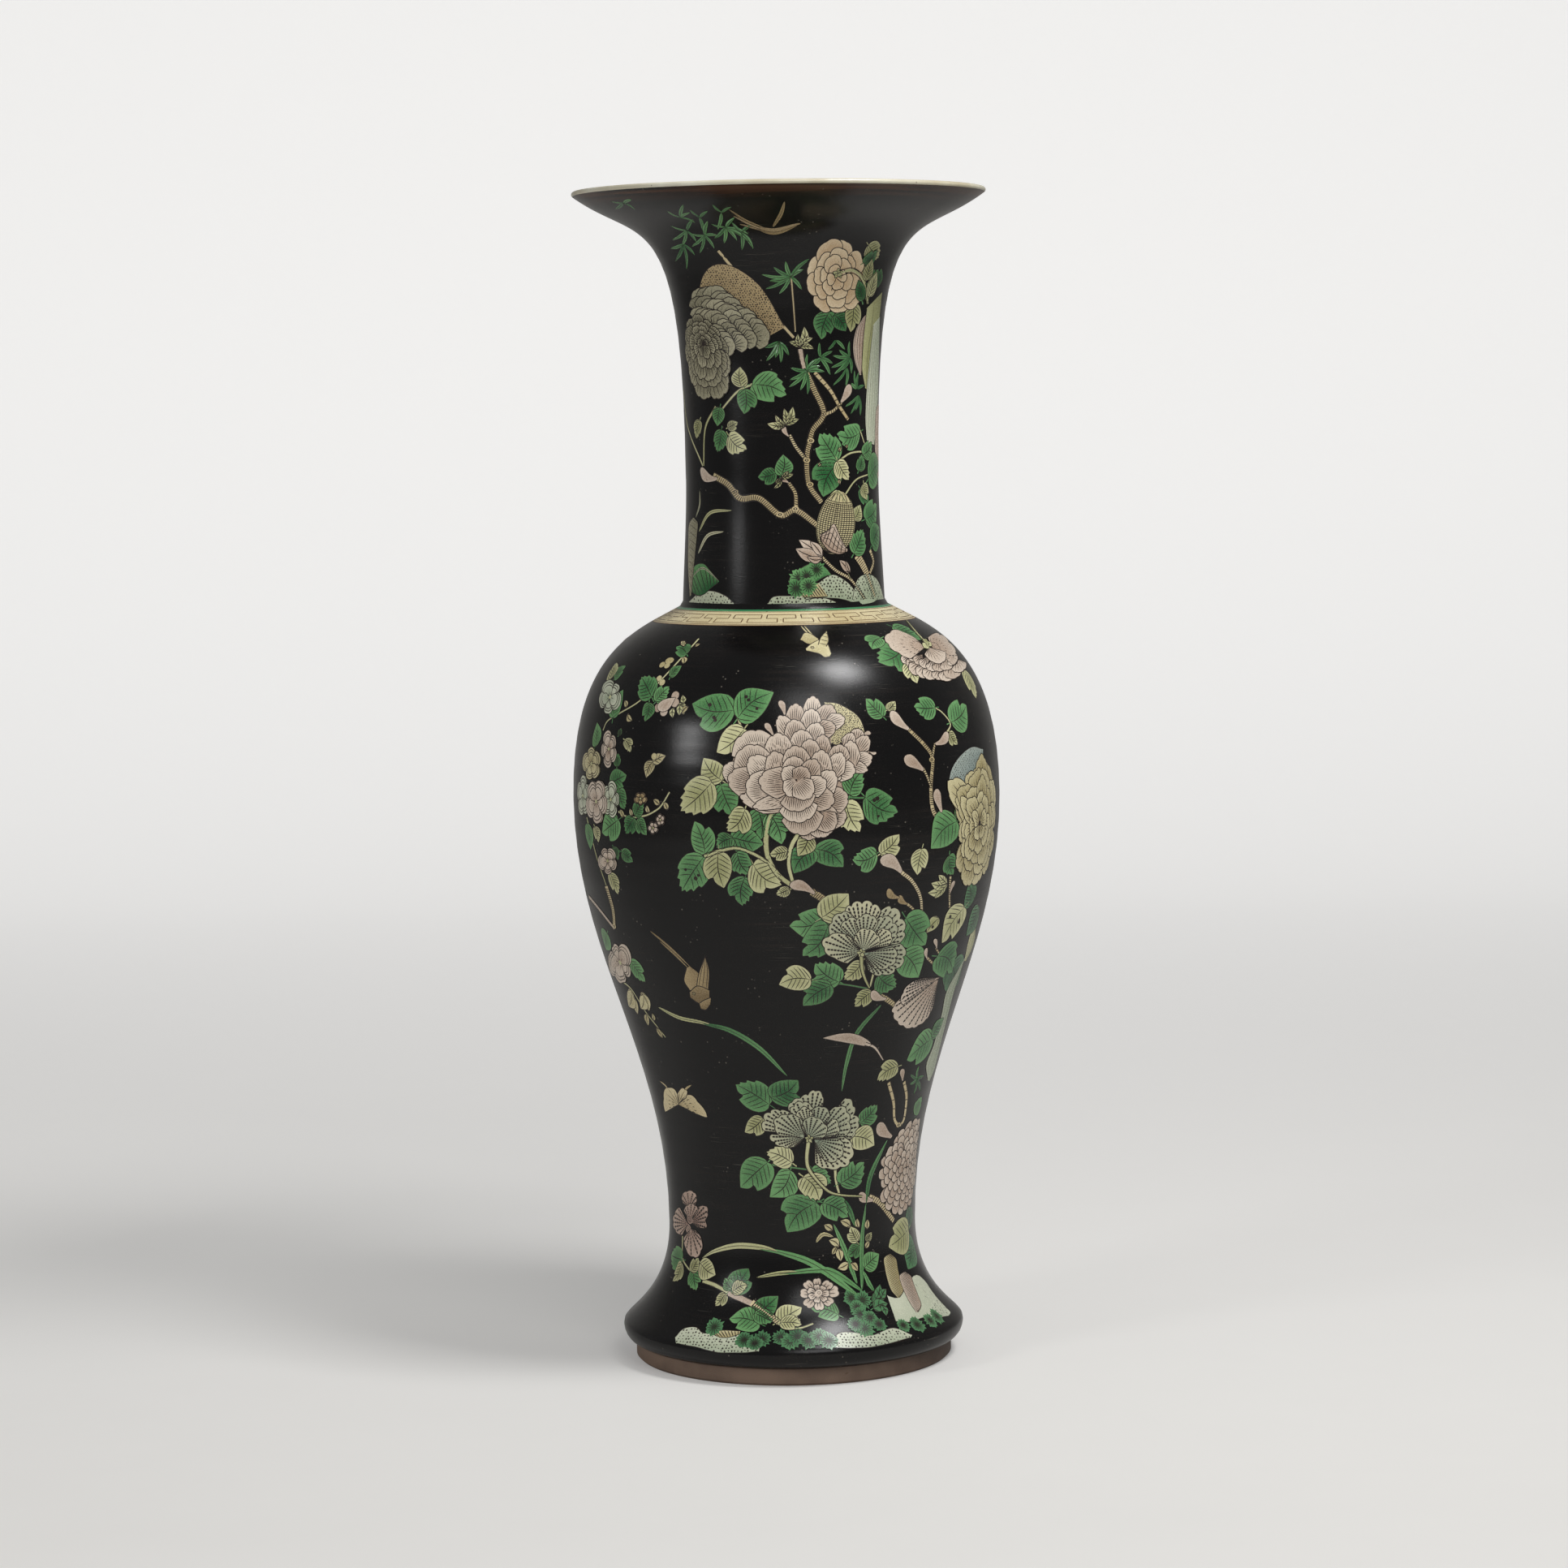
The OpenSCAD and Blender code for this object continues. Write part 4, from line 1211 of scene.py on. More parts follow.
def paintLeaves():
    drawStalks("neck", "body", "foot")
    rounds(knots, (("bark", 2.1), ("ink", 1.3), ("bark", 0.6)), squash=0.7)
    leaves("leaf", greenLeaves)
    leaves("leaf", holedLeaves, holes=3)
    leaves("lime", [(1188, 1118, 1157, 1167)], holes=3)
    leaves("lime", yellowLeaves)
    drawStalks("over")
    leaves("pink", pinkBuds, "bud", veins=0)
    leaves("tan", [(1118, 1114, 1107, 1104), (1108, 1106, 1093, 1096)], "bud", veins=0, stalk=0)
    leaves("straw", yellowBuds, "drop", veins=1, wide=1.4, stalk=0)
    leaves("pink", [(1013, 687, 984, 665), (1011, 688, 980, 676), (1013, 686, 998, 667),
                    (1014, 688, 994, 686), (1046, 706, 1034, 690),
                    (1047, 706, 1042, 691)], "drop", veins=1, stalk=0)


mainPeony = {
    # Petals on a six-fold enlargement with its corner at this photo point: base, tip and width.
    "corner": (880, 850), "scale": 6, "middle": (985, 950),
    "ground": [(897, 956), (906, 928), (935, 906), (960, 890), (975, 874), (1000, 864), (1020, 876),
               (1024, 896), (1024, 920), (1044, 924), (1068, 912), (1072, 934), (1056, 946), (1046, 958),
               (1042, 979), (1038, 999), (1026, 1022), (998, 1030), (980, 1022), (968, 990), (940, 990),
               (914, 978)],
    "petals": [
        (725, 170, 730, 45, 130), (600, 220, 605, 100, 135), (810, 215, 870, 112, 150),
        (870, 240, 966, 210, 115), (545, 310, 480, 190, 130), (715, 260, 720, 138, 145),
        (805, 295, 898, 270, 130), (605, 335, 585, 218, 155), (735, 355, 770, 243, 145),
        (650, 405, 640, 293, 165), (795, 450, 805, 330, 125), (710, 475, 705, 362, 145),
        (1055, 345, 1066, 285, 105), (1080, 425, 1135, 340, 115), (1040, 540, 1168, 490, 140),
        (1030, 560, 1135, 597, 90), (985, 395, 1022, 318, 95), (1010, 515, 1005, 372, 130),
        (925, 590, 1045, 600, 160), (920, 505, 930, 402, 150), (875, 620, 935, 662, 95),
        (880, 600, 940, 462, 140), (780, 605, 795, 442, 165), (160, 620, 70, 565, 160),
        (300, 450, 245, 303, 310), (480, 475, 470, 318, 205), (290, 550, 245, 408, 265),
        (260, 690, 102, 640, 215), (375, 615, 262, 496, 190), (420, 850, 190, 785, 140),
        (350, 720, 235, 690, 225), (475, 620, 440, 452, 175), (610, 535, 590, 412, 190),
        (520, 805, 285, 868, 110), (590, 595, 590, 488, 165), (505, 690, 328, 668, 215),
        (875, 930, 980, 930, 180), (875, 820, 985, 770, 190), (765, 905, 915, 950, 170),
        (795, 725, 885, 600, 170), (745, 795, 890, 825, 185), (700, 625, 750, 512, 150),
        (715, 725, 828, 670, 155), (700, 1030, 700, 1112, 150), (790, 1000, 825, 1088, 190),
        (815, 955, 885, 1032, 165), (650, 925, 668, 1076, 280), (620, 855, 640, 982, 260),
        (615, 790, 640, 898, 240),
    ],
    "heart": [
        (605, 672, 512, 575, 140), (610, 672, 690, 578, 140), (610, 680, 540, 785, 150),
        (615, 680, 715, 798, 170),
    ],
}
olivePeony = {
    "centre": (868, 424),
    "edge": [(902, 446), (900, 466), (894, 482), (880, 493), (862, 488), (850, 455), (845, 424),
             (847, 396), (858, 388), (880, 400), (895, 420)],
    "rings": [(11, 0.7, 1.0), (10, 0.52, 0.84), (9, 0.35, 0.66), (7, 0.18, 0.48), (5, 0.04, 0.28)],
}
sunPeony = {
    "centre": (1206, 1014),
    "edge": [(1169, 964), (1169, 980), (1176, 997), (1181, 1012), (1180, 1040), (1178, 1060),
             (1184, 1080), (1198, 1091), (1211, 1080), (1221, 1048), (1226, 1008), (1225, 972),
             (1217, 940), (1209, 928), (1198, 946), (1182, 956)],
    "rings": [(13, 0.7, 1.0), (12, 0.54, 0.86), (10, 0.38, 0.7), (8, 0.22, 0.52), (5, 0.04, 0.32)],
}
rosePeony = {
    "centre": (1116, 1438),
    "edge": [(1133, 1380), (1126, 1377), (1116, 1388), (1102, 1400), (1093, 1420), (1086, 1430),
             (1084, 1448), (1085, 1468), (1090, 1484), (1104, 1494), (1116, 1490), (1123, 1482),
             (1127, 1456), (1129, 1424), (1132, 1396)],
    "rings": [(22, 0.78, 1.0), (20, 0.64, 0.88), (18, 0.5, 0.75), (15, 0.36, 0.62), (11, 0.22, 0.48),
              (8, 0.08, 0.34), (4, 0.02, 0.18)],
}
shellPeonies = {
    # Seen from behind. Fans, lowest first: apex, arc, number of lines, each in dashes or, at 0, whole.
    "middle": {
        "kind": "sea", "dashes": 9,
        "fans": [
            ((1066, 1166), [(1084, 1121), (1100, 1115), (1112, 1128), (1117, 1147), (1110, 1163)], 9),
            ((1063, 1162), [(1039, 1124), (1047, 1113), (1062, 1109), (1076, 1111), (1087, 1121)], 9),
            ((1059, 1167), [(1020, 1152), (1023, 1134), (1037, 1122), (1052, 1127)], 8),
            ((1066, 1168), [(1076, 1136), (1089, 1127), (1102, 1134), (1107, 1150), (1099, 1163)], 8),
            ((1062, 1166), [(1034, 1142), (1042, 1132), (1054, 1130), (1062, 1140)], 6),
            ((1064, 1166), [(1052, 1138), (1061, 1127), (1074, 1126), (1083, 1136)], 6),
            ((1068, 1169), [(1080, 1147), (1091, 1143), (1100, 1153), (1096, 1165)], 6),
            ((1060, 1174), [(1043, 1188), (1020, 1177), (1012, 1164), (1018, 1153), (1037, 1149),
                            (1053, 1158)], 9),
            ((1063, 1172), [(1051, 1160), (1056, 1147), (1069, 1143), (1082, 1151), (1085, 1163)], 8),
            ((1064, 1174), [(1112, 1161), (1117, 1178), (1104, 1197), (1084, 1203), (1070, 1197)], 12),
            ((1064, 1174), [(1103, 1166), (1106, 1180), (1096, 1192), (1080, 1194), (1070, 1187)], 9),
        ],
        "calyx": (1061, 1174), "stalk": [(1061, 1178), (1062, 1194), (1066, 1207), (1071, 1217)],
    },
    "lower": {
        "kind": "sea", "dashes": 9,
        "fans": [
            ((1012, 1398), [(1036, 1358), (1045, 1351), (1053, 1361), (1055, 1372), (1060, 1381),
                            (1056, 1394), (1050, 1404)], 10),
            ((998, 1388), [(969, 1366), (975, 1356), (988, 1350), (997, 1345), (1006, 1342), (1014, 1348),
                           (1015, 1360)], 9),
            ((985, 1398), [(938, 1393), (939, 1379), (944, 1370), (957, 1366), (973, 1369)], 9),
            ((1008, 1398), [(1021, 1369), (1032, 1362), (1043, 1365), (1048, 1378), (1047, 1396),
                            (1034, 1402)], 9),
            ((996, 1395), [(974, 1373), (974, 1364), (986, 1356), (1000, 1361), (1004, 1374)], 7),
            ((1004, 1396), [(1000, 1366), (1013, 1362), (1023, 1371), (1019, 1383)], 6),
            ((997, 1393), [(979, 1376), (984, 1367), (993, 1363), (1003, 1373)], 6),
            ((1007, 1400), [(1019, 1384), (1028, 1377), (1035, 1388), (1032, 1397), (1020, 1402)], 7),
            ((991, 1401), [(947, 1397), (950, 1406), (962, 1413), (976, 1414), (986, 1408)], 7),
            ((991, 1402), [(958, 1399), (953, 1386), (956, 1376), (972, 1372), (985, 1376),
                           (991, 1385)], 8),
            ((996, 1402), [(987, 1388), (993, 1377), (1007, 1376), (1019, 1387), (1018, 1398),
                           (1010, 1404)], 8),
            ((1004, 1404), [(1042, 1400), (1052, 1413), (1049, 1431), (1037, 1440), (1017, 1441),
                            (1004, 1435)], 11),
            ((1003, 1404), [(1034, 1402), (1041, 1413), (1034, 1429), (1020, 1432), (1007, 1421)], 8),
        ],
        "calyx": (997, 1403), "stalk": [(996, 1407), (994, 1428), (998, 1443), (1017, 1465), (1033, 1472),
                                        (1062, 1474)],
    },
    "shoulder": {
        "kind": "pink", "dashes": 0,
        "fans": [
            ((1148, 798), [(1142, 785), (1155, 780), (1169, 790), (1180, 808), (1176, 822)], 10),
            ((1140, 798), [(1121, 813), (1102, 803), (1090, 791), (1092, 780), (1105, 776),
                           (1126, 785)], 10),
            ((1144, 798), [(1138, 807), (1149, 817), (1163, 817), (1166, 804)], 7),
        ],
        "calyx": (1141, 794), "stalk": [(1140, 791), (1128, 778), (1117, 765)],
    },
    "iris": {
        "kind": "mauve", "dashes": 6,
        "fans": [
            ((849, 1488), [(841, 1482), (840, 1473), (846, 1467), (855, 1468), (859, 1476),
                           (857, 1485)], 6),
            ((848, 1508), [(837, 1486), (831, 1494), (829, 1505), (832, 1517), (840, 1523)], 7),
            ((852, 1506), [(859, 1487), (870, 1485), (873, 1495), (870, 1504), (871, 1513),
                           (860, 1513)], 7),
            ((850, 1504), [(842, 1491), (848, 1483), (857, 1484), (861, 1492)], 5),
            ((851, 1514), [(842, 1526), (846, 1542), (856, 1551), (865, 1542), (865, 1527),
                           (858, 1516)], 7),
        ],
        "calyx": None, "stalk": [],
    },
}


def paintFlowers():
    # Peony on the shoulder: two rows of shells under its fans.
    shells("pink", [(1120, 808), (1134, 814), (1150, 820), (1164, 821), (1178, 812)],
           [(1111, 817), (1124, 829), (1140, 837), (1156, 841), (1170, 838), (1182, 830)], 9, lines=6)
    shells("pink", [(1130, 804), (1142, 809), (1154, 812), (1168, 808)],
           [(1120, 813), (1134, 822), (1150, 828), (1166, 827), (1178, 818)], 7, lines=6)
    # Main peony: dotted leaf, buds, ground and petals.
    patch("straw", [(1016, 865), (1030, 866), (1043, 872), (1055, 880), (1062, 890), (1066, 904)],
          [(1020, 914), (1026, 917), (1031, 918), (1036, 916), (1042, 911), (1050, 904)], dots=2.4,
          dotSize=0.36)
    leaves("pink", [(967, 881, 961, 863), (953, 906, 943, 891), (1063, 906, 1073, 903),
                    (1071, 926, 1080, 928)], "bud", veins=0, stalk=0)
    theta, s = (a[None] for a in spotsAt(mainPeony["ground"]))
    middle = spotsAt([mainPeony["middle"]])
    share = np.linspace(0, 1, 80)[:, None]
    lift = settle(middle[0] + (theta - middle[0]) * share, middle[1] + (s - middle[1]) * share)
    star("pink", middle, (theta, s), lift, (0.1, 0.1, 0.1, 0.1))
    petals("pink", mainPeony["corner"], mainPeony["scale"], mainPeony["petals"])
    petals("pink", mainPeony["corner"], mainPeony["scale"], mainPeony["heart"], root=0,
           lines=(0.02, 0.86))
    rounds([(981, 961)], (("ink", 0.6),))
    # Dark peony on the neck: dotted ground, rows of shells and a round heart.
    patch("tan", [(860, 366), (866, 340), (880, 326), (905, 329), (938, 354), (967, 403)],
          [(864, 384), (872, 372), (888, 364), (906, 374), (926, 392), (948, 414)], dots=3.2,
          dotSize=0.42)
    for bases, tips, count in (
            ([(866, 376), (884, 384), (902, 397), (920, 416)],
             [(864, 354), (890, 356), (914, 373), (934, 393), (950, 412)], 12),
            ([(862, 386), (880, 394), (896, 405), (912, 420)],
             [(862, 365), (887, 369), (909, 384), (934, 414)], 11),
            ([(861, 398), (876, 405), (890, 415), (902, 426)],
             [(862, 376), (882, 382), (902, 396), (922, 421)], 10),
            ([(860, 411), (871, 416), (884, 427)], [(860, 388), (876, 394), (893, 407), (908, 428)], 8)):
        shells("olive", bases, tips, count)
    flower("olive", **olivePeony, hatch=7, seed=8, scallops=4)
    # Cream flower beside it.
    flower("cream", (1030, 342), circleOf((995, 293, 1066, 388)),
           [(9, 0.66, 1.0), (8, 0.42, 0.8), (6, 0.2, 0.58), (4, 0.03, 0.34)], seed=10, heart=None,
           ruffle=0.06, scallops=2)
    calyx((1032, 337), 7)
    stem("lime", [(1033, 337), (1050, 333), (1063, 345), (1069, 374)], 1.8)
    leaves("leaf", [(1064, 324, 1081, 308), (1062, 370, 1057, 345), (1080, 354, 1086, 330)], wide=0.8)
    leaves("lime", [(1066, 346, 1074, 318), (1070, 366, 1080, 334)], "oval", wide=0.9)
    # Peony at the right edge.
    patch("blue", [(1168, 966), (1173, 946), (1184, 930), (1198, 920), (1211, 923)],
          [(1180, 972), (1186, 966), (1194, 960), (1200, 950), (1211, 932)], dots=3.0, dotSize=0.36)
    flower("straw", **sunPeony, hatch=6, seed=13, stop=0.7)
    # Peonies seen from behind, and the iris.
    for group in shellPeonies.values():
        for number, (apex, arc, lines) in enumerate(group["fans"]):
            fan(group["kind"], apex, arc, len(arc) - 1, lines, group["dashes"], seed=number)
        if group["calyx"]:
            calyx(group["calyx"], 6)
            stem("lime", group["stalk"], 1.4)
    rounds([(850, 1502), (848, 1514)], (("mauve", 3.0), ("ink", 2.2), ("mauve", 1.8), ("ink", 0.9),
                                        ("mauve", 0.5)))
    # Round flowers on the foot.
    flower("pink", **rosePeony, seed=16, scallops=1, ruffle=0.03, span=1.25)
    flower("pink", (1008, 1594), circleOf((984, 1574, 1034, 1614)), [(8, 0.4, 1.0), (7, 0.16, 0.58)],
           seed=17, scallops=2, hatch=4, heart="pink", span=1.2, stop=0.7)
    rounds([(1009, 1593)], (("ink", 2.3), ("pink", 2.0), ("ink", 1.1), ("pink", 0.8)))
    # Rosettes, blossoms and berries down the left edge.
    rosettes = (("rock", (738, 838, 766, 880)), ("pink", (741, 899, 760, 947)),
                ("straw", (718, 921, 741, 961)), ("rock", (712, 955, 727, 1006)),
                ("rock", (743, 961, 763, 1009)), ("pink", (723, 960, 749, 1015)),
                ("pink", (737, 1044, 761, 1077)), ("pink", (750, 1161, 779, 1211)))
    blossoms = (("tan", (781, 976, 798, 992)), ("pink", (798, 1012, 812, 1028)),
                ("pink", (808, 1002, 820, 1018)), ("straw", (838, 789, 846, 797)))
    rounds([(816, 819), (822, 820), (812, 836), (816, 841)], (("ink", 2.3), ("straw", 2.0)))
    rounds([(825, 814)], (("ink", 3.4), ("straw", 3.1)), squash=0.75)
    leaves("lime", [(829, 872, 829, 885), (838, 868, 837, 882), (842, 867, 841, 856)], "oval", veins=2,
           stalk=0)
    rounds([(832, 866), (832, 857), (811, 872), (818, 877)], (("ink", 2.9), ("pink", 2.6)))
    leaves("pink", [(810, 873, 833, 859)], "oval", veins=0, stalk=0, wide=0.8)
    for number, (kind, box) in enumerate(rosettes):
        rosette(kind, box, 30 + number, rings=3)
    for number, (kind, box) in enumerate(blossoms):
        rosette(kind, box, 50 + number)
    # Net pod on the neck.
    pod("straw", (1030, 644), 23, 39, -8)
    patch("pink", [(1010, 659), (1020, 653), (1027, 645), (1032, 654), (1037, 666), (1044, 677)],
          [(1010, 661), (1013, 669), (1018, 676), (1025, 681), (1034, 683), (1043, 680)], bands=8, runs=4)
    for middle, tip in (((1026, 611), (1018, 620)), ((1031, 613), (1030, 622)),
                        ((1037, 611), (1043, 621))):
        blade("lime", [(1031, 604), middle, tip], 1.6)
    blade("ink", [(1033, 620), (1030, 632), (1027, 646)], 0.6, vein=False)
    # The scaled pod: a shell of beaded lines below a shell of striped ones.
    fan("pink", (1156, 1206), [(1106, 1232), (1098, 1246), (1106, 1262), (1122, 1268), (1140, 1258),
                               (1150, 1240)], 9, 11, 13, 0.05)
    fan("pink", (1158, 1204), [(1110, 1240), (1110, 1226), (1120, 1212), (1136, 1205)], 3, 8, 11, 0.05)


rockDots = {"dots": 4.3, "dotSize": 0.55}


def paintRocks():
    patch("rock", [(946, 744), (953, 735), (975, 734), (1000, 734), (1018, 737), (1036, 744)],
          [(948, 747), (962, 749), (985, 749), (1000, 748), (1014, 747), (1034, 747)], **rockDots)
    patch("rock", [(988, 737), (1004, 722), (1024, 708), (1040, 714), (1052, 726), (1060, 744)],
          [(992, 739), (1004, 737), (1016, 737), (1034, 738), (1046, 741), (1056, 746)], **rockDots)
    patch("rock", [(1050, 740), (1056, 714), (1070, 707), (1082, 716), (1090, 742)],
          [(1052, 746), (1060, 747), (1070, 746), (1080, 745), (1089, 744)], dots=4.0, dotSize=0.55)
    patch("straw", [(986, 733), (997, 725), (1008, 718)], [(990, 736), (1006, 736), (1020, 735)], bands=9)
    patch("rock", [(849, 741), (862, 730), (878, 728), (894, 734), (904, 743)],
          [(850, 747), (864, 749), (880, 749), (892, 749), (903, 748)], **rockDots)
    patch("leaf", [(851, 726), (854, 700), (866, 694), (876, 704), (886, 716)],
          [(853, 730), (860, 734), (868, 732), (876, 725), (885, 718)], bands=9)
    patch("olive", [(854, 638), (849, 646), (848, 670), (848, 700), (850, 735)],
          [(855, 638), (860, 644), (859, 660), (856, 690), (852, 733)], bands=11, slant=0.1)
    patch("leaf", [(974, 732), (973, 712), (990, 698), (1006, 693), (1018, 700), (1024, 708)],
          [(978, 733), (986, 732), (994, 726), (1003, 719), (1012, 713), (1020, 709)])
    tufts([(1006, 702), (984, 712), (981, 725), (994, 710), (996, 722)], "leaf")
    # Rock face beside the neck: a pink slab, a pale trunk and a striped slab.
    patch("pink", [(1063, 392), (1055, 405), (1051, 425), (1053, 445), (1059, 462)],
          [(1067, 388), (1065, 410), (1064, 430), (1063, 447), (1061, 462)], runs=4)
    patch("lime", [(1068, 380), (1065, 405), (1063, 430), (1062, 455), (1066, 478)],
          [(1087, 360), (1083, 395), (1077, 425), (1073, 455), (1068, 480)], runs=1)
    patch("rock", [(1076, 400), (1072, 435), (1068, 475), (1066, 515), (1068, 545)],
          [(1084, 390), (1083, 430), (1082, 480), (1080, 520), (1077, 548)], runs=5)
    patch("pink", [(1082, 498), (1079, 506), (1078, 530), (1078, 560), (1079, 582), (1081, 590)],
          [(1082.5, 498), (1084, 506), (1084, 530), (1083.5, 560), (1083, 582), (1081.5, 590)], runs=3)
    patch("lime", [(1201, 1142), (1196, 1150), (1192, 1164), (1188, 1184)],
          [(1202, 1143), (1201, 1156), (1197, 1170), (1190, 1184)], runs=2)
    leaves("moss", [(1194, 1118, 1193, 1088), (1206, 1116, 1190, 1154), (1176, 1184, 1166, 1222),
                    (1174, 1186, 1180, 1214)], "oval", veins=6, wide=1.5, stalk=0)
    leaves("lime", [(1157, 1131, 1141, 1150)], "oval", veins=1, holes=1, stalk=0)
    patch("rock", [(1182, 1192), (1166, 1222), (1160, 1250), (1150, 1288), (1141, 1312), (1143, 1331)],
          [(1189, 1180), (1177, 1216), (1168, 1250), (1158, 1290), (1151, 1318), (1145, 1332)], runs=2)
    patch("rock",
          [(1093, 1596), (1108, 1598), (1122, 1575), (1132, 1571), (1147, 1587), (1162, 1606), (1171, 1618)],
          [(1104, 1628), (1114, 1630), (1126, 1628), (1137, 1624), (1148, 1623), (1160, 1623), (1169, 1621)])
    patch("rock", [(1146, 1612), (1152, 1600), (1162, 1606), (1171, 1617)],
          [(1148, 1620), (1155, 1622), (1162, 1622), (1169, 1621)], dots=3.4, rim=0)
    patch("straw", [(1096, 1545), (1089, 1550), (1090, 1562), (1093, 1576), (1098, 1590), (1106, 1599)],
          [(1097, 1545), (1104, 1551), (1106, 1562), (1109, 1576), (1113, 1590), (1108, 1599)], bands=22,
          slant=0.22)
    patch("pink", [(1114, 1567), (1108, 1572), (1111, 1584), (1116, 1596), (1122, 1607), (1129, 1617)],
          [(1115, 1567), (1122, 1572), (1126, 1583), (1131, 1596), (1135, 1608), (1131, 1617)], bands=22,
          slant=0.22)
    for points in ([(1120, 1573), (1124, 1578)], [(1137, 1589), (1141, 1593)],
                   [(1139, 1597), (1143, 1599)], [(1145, 1591), (1150, 1597)],
                   [(1128, 1582), (1131, 1586)]):
        blade("ink", points, 0.5, vein=False)
    leaves("moss", [(1121, 1486, 1119, 1518), (1122, 1521, 1118, 1565)], "oval", veins=7, wide=1.35,
           stalk=0)
    patch("rock", [(832, 1648), (842, 1637), (858, 1635), (865, 1642), (876, 1643), (890, 1648),
                   (910, 1643), (936, 1659)],
          [(833, 1655), (846, 1658), (858, 1660), (872, 1664), (887, 1667), (903, 1667), (918, 1667),
           (935, 1665)], **rockDots)
    patch("rock", [(1020, 1654), (1035, 1642), (1055, 1642), (1075, 1645), (1100, 1636), (1124, 1645)],
          [(1024, 1660), (1040, 1661), (1056, 1661), (1074, 1660), (1098, 1655), (1122, 1648)],
          **rockDots)
    patch("straw", [(877, 1641), (892, 1639), (912, 1640)], [(886, 1648), (898, 1648), (911, 1644)],
          bands=8)
    tufts([(880, 1635), (917, 1651), (939, 1650), (930, 1655), (962, 1648), (974, 1653), (983, 1647),
           (996, 1652), (1010, 1647), (1021, 1652), (1049, 1599), (1063, 1602), (1056, 1611),
           (1060, 1620), (1072, 1624), (1083, 1632), (1065, 1637), (1054, 1632), (1113, 1633),
           (1130, 1632), (1146, 1627), (1154, 1622)])
    leaves("moss", [(1075, 1606, 1092, 1598), (1076, 1612, 1094, 1606), (1086, 1608, 1092, 1622),
                    (1080, 1600, 1084, 1582), (1086, 1600, 1092, 1588)], "oval", veins=2)


def paintGrass():
    blades = (
        ("lime", 1.5, [(861, 655), (875, 632), (902, 629)]),
        ("sea", 1.6, [(860, 682), (872, 660), (892, 655)]),
        ("sea", 1.0, [(857, 638), (862, 622), (862, 604)]),
        ("sea", 1.6, [(852, 712), (866, 700), (885, 715)]),
        ("lime", 1.6, [(811, 1241), (837, 1254), (865, 1260), (890, 1268)]),
        ("leaf", 2.0, [(866, 1261), (900, 1270), (936, 1292), (970, 1326)]),
        ("leaf", 2.0, [(1086, 1238), (1056, 1273), (1043, 1311), (1037, 1345)]),
        ("leaf", 2.4, [(1058, 1597), (1005, 1559), (965, 1544), (936, 1539)]),
        ("lime", 2.0, [(958, 1542), (938, 1537), (908, 1535), (882, 1541), (865, 1550)]),
        ("leaf", 2.0, [(1063, 1591), (1028, 1568), (1005, 1565), (960, 1570)]),
        ("lime", 1.4, [(985, 1567), (960, 1569), (932, 1574)]),
        ("leaf", 2.1, [(1056, 1582), (1042, 1543), (1027, 1508)]),
        ("leaf", 1.6, [(1062, 1590), (1062, 1530), (1067, 1483)]),
        ("leaf", 1.8, [(1067, 1483), (1073, 1448), (1093, 1405)]),
        ("leaf", 1.8, [(1040, 1478), (1048, 1494), (1054, 1512)]),
        ("leaf", 1.8, [(1077, 1591), (1070, 1580), (1064, 1566)]),
        ("straw", 1.6, [(1005, 1531), (1014, 1521), (1027, 1524)]),
    )
    for kind, half, points in blades:
        blade(kind, points, half)
    leaves("pink", [(1074, 1288, 1012, 1279)], "drop", veins=0, wide=0.46, largest=40)
    stem("pink", [(1066, 1286), (1078, 1291), (1088, 1306)], 1.1)
    # Bamboo: a node, then the tips of its leaves.
    bamboo = (
        ((960, 421), [(941, 428), (944, 445), (955, 441), (962, 447), (972, 438)]),
        ((994, 457), [(995, 436), (974, 453), (973, 468), (972, 477), (986, 481), (995, 486), (1011, 451),
                      (1016, 458), (1007, 442)]),
        ((1011, 441), [(1010, 422), (1026, 433), (1026, 448), (1023, 462), (1002, 449)]),
        ((1030, 419), [(1020, 431), (1041, 431)]),
        ((1047, 440), [(1047, 420), (1026, 438), (1034, 431), (1024, 453), (1038, 456), (1028, 461),
                       (1049, 460)]),
        ((1044, 453), [(1026, 475), (1042, 476)]),
        ((1056, 479), [(1053, 456), (1065, 475), (1049, 472), (1058, 459)]),
        ((1058, 487), [(1041, 501), (1048, 510), (1054, 506), (1060, 512)]),
        ((974, 341), [(938, 338), (943, 356), (960, 362), (953, 329), (988, 357), (997, 319), (990, 332),
                      (968, 322), (948, 346)]),
        ((868, 290), [(850, 288), (852, 304), (862, 312), (880, 306), (884, 290), (872, 272)]),
        ((894, 280), [(876, 276), (880, 294), (892, 300), (908, 296), (922, 288), (905, 268),
                      (926, 300)]),
        ((846, 284), [(826, 278), (828, 296), (840, 304), (854, 270), (858, 298)]),
        ((842, 301), [(826, 306), (832, 322), (846, 331), (856, 314)]),
        ((889, 262), [(878, 252), (901, 255), (884, 283)]),
        ((914, 286), [(926, 277), (928, 306), (914, 308), (902, 274)]),
        ((862, 268), [(850, 258), (872, 260), (866, 284)]),
        ((838, 268), [(822, 260), (850, 262), (842, 252), (856, 274)]),
        ((768, 250), [(752, 248), (758, 258), (782, 258), (778, 246)]),
        ((1130, 1330), [(1122, 1324), (1121, 1336), (1126, 1348), (1134, 1344), (1138, 1326),
                        (1132, 1314)]),
    )
    for node, tips in bamboo:
        for tip in tips:
            middle = ((node[0] + tip[0]) / 2 + 0.06 * (tip[1] - node[1]),
                      (node[1] + tip[1]) / 2 - 0.06 * (tip[0] - node[0]))
            blade("leaf", [node, middle, tip], 1.25)
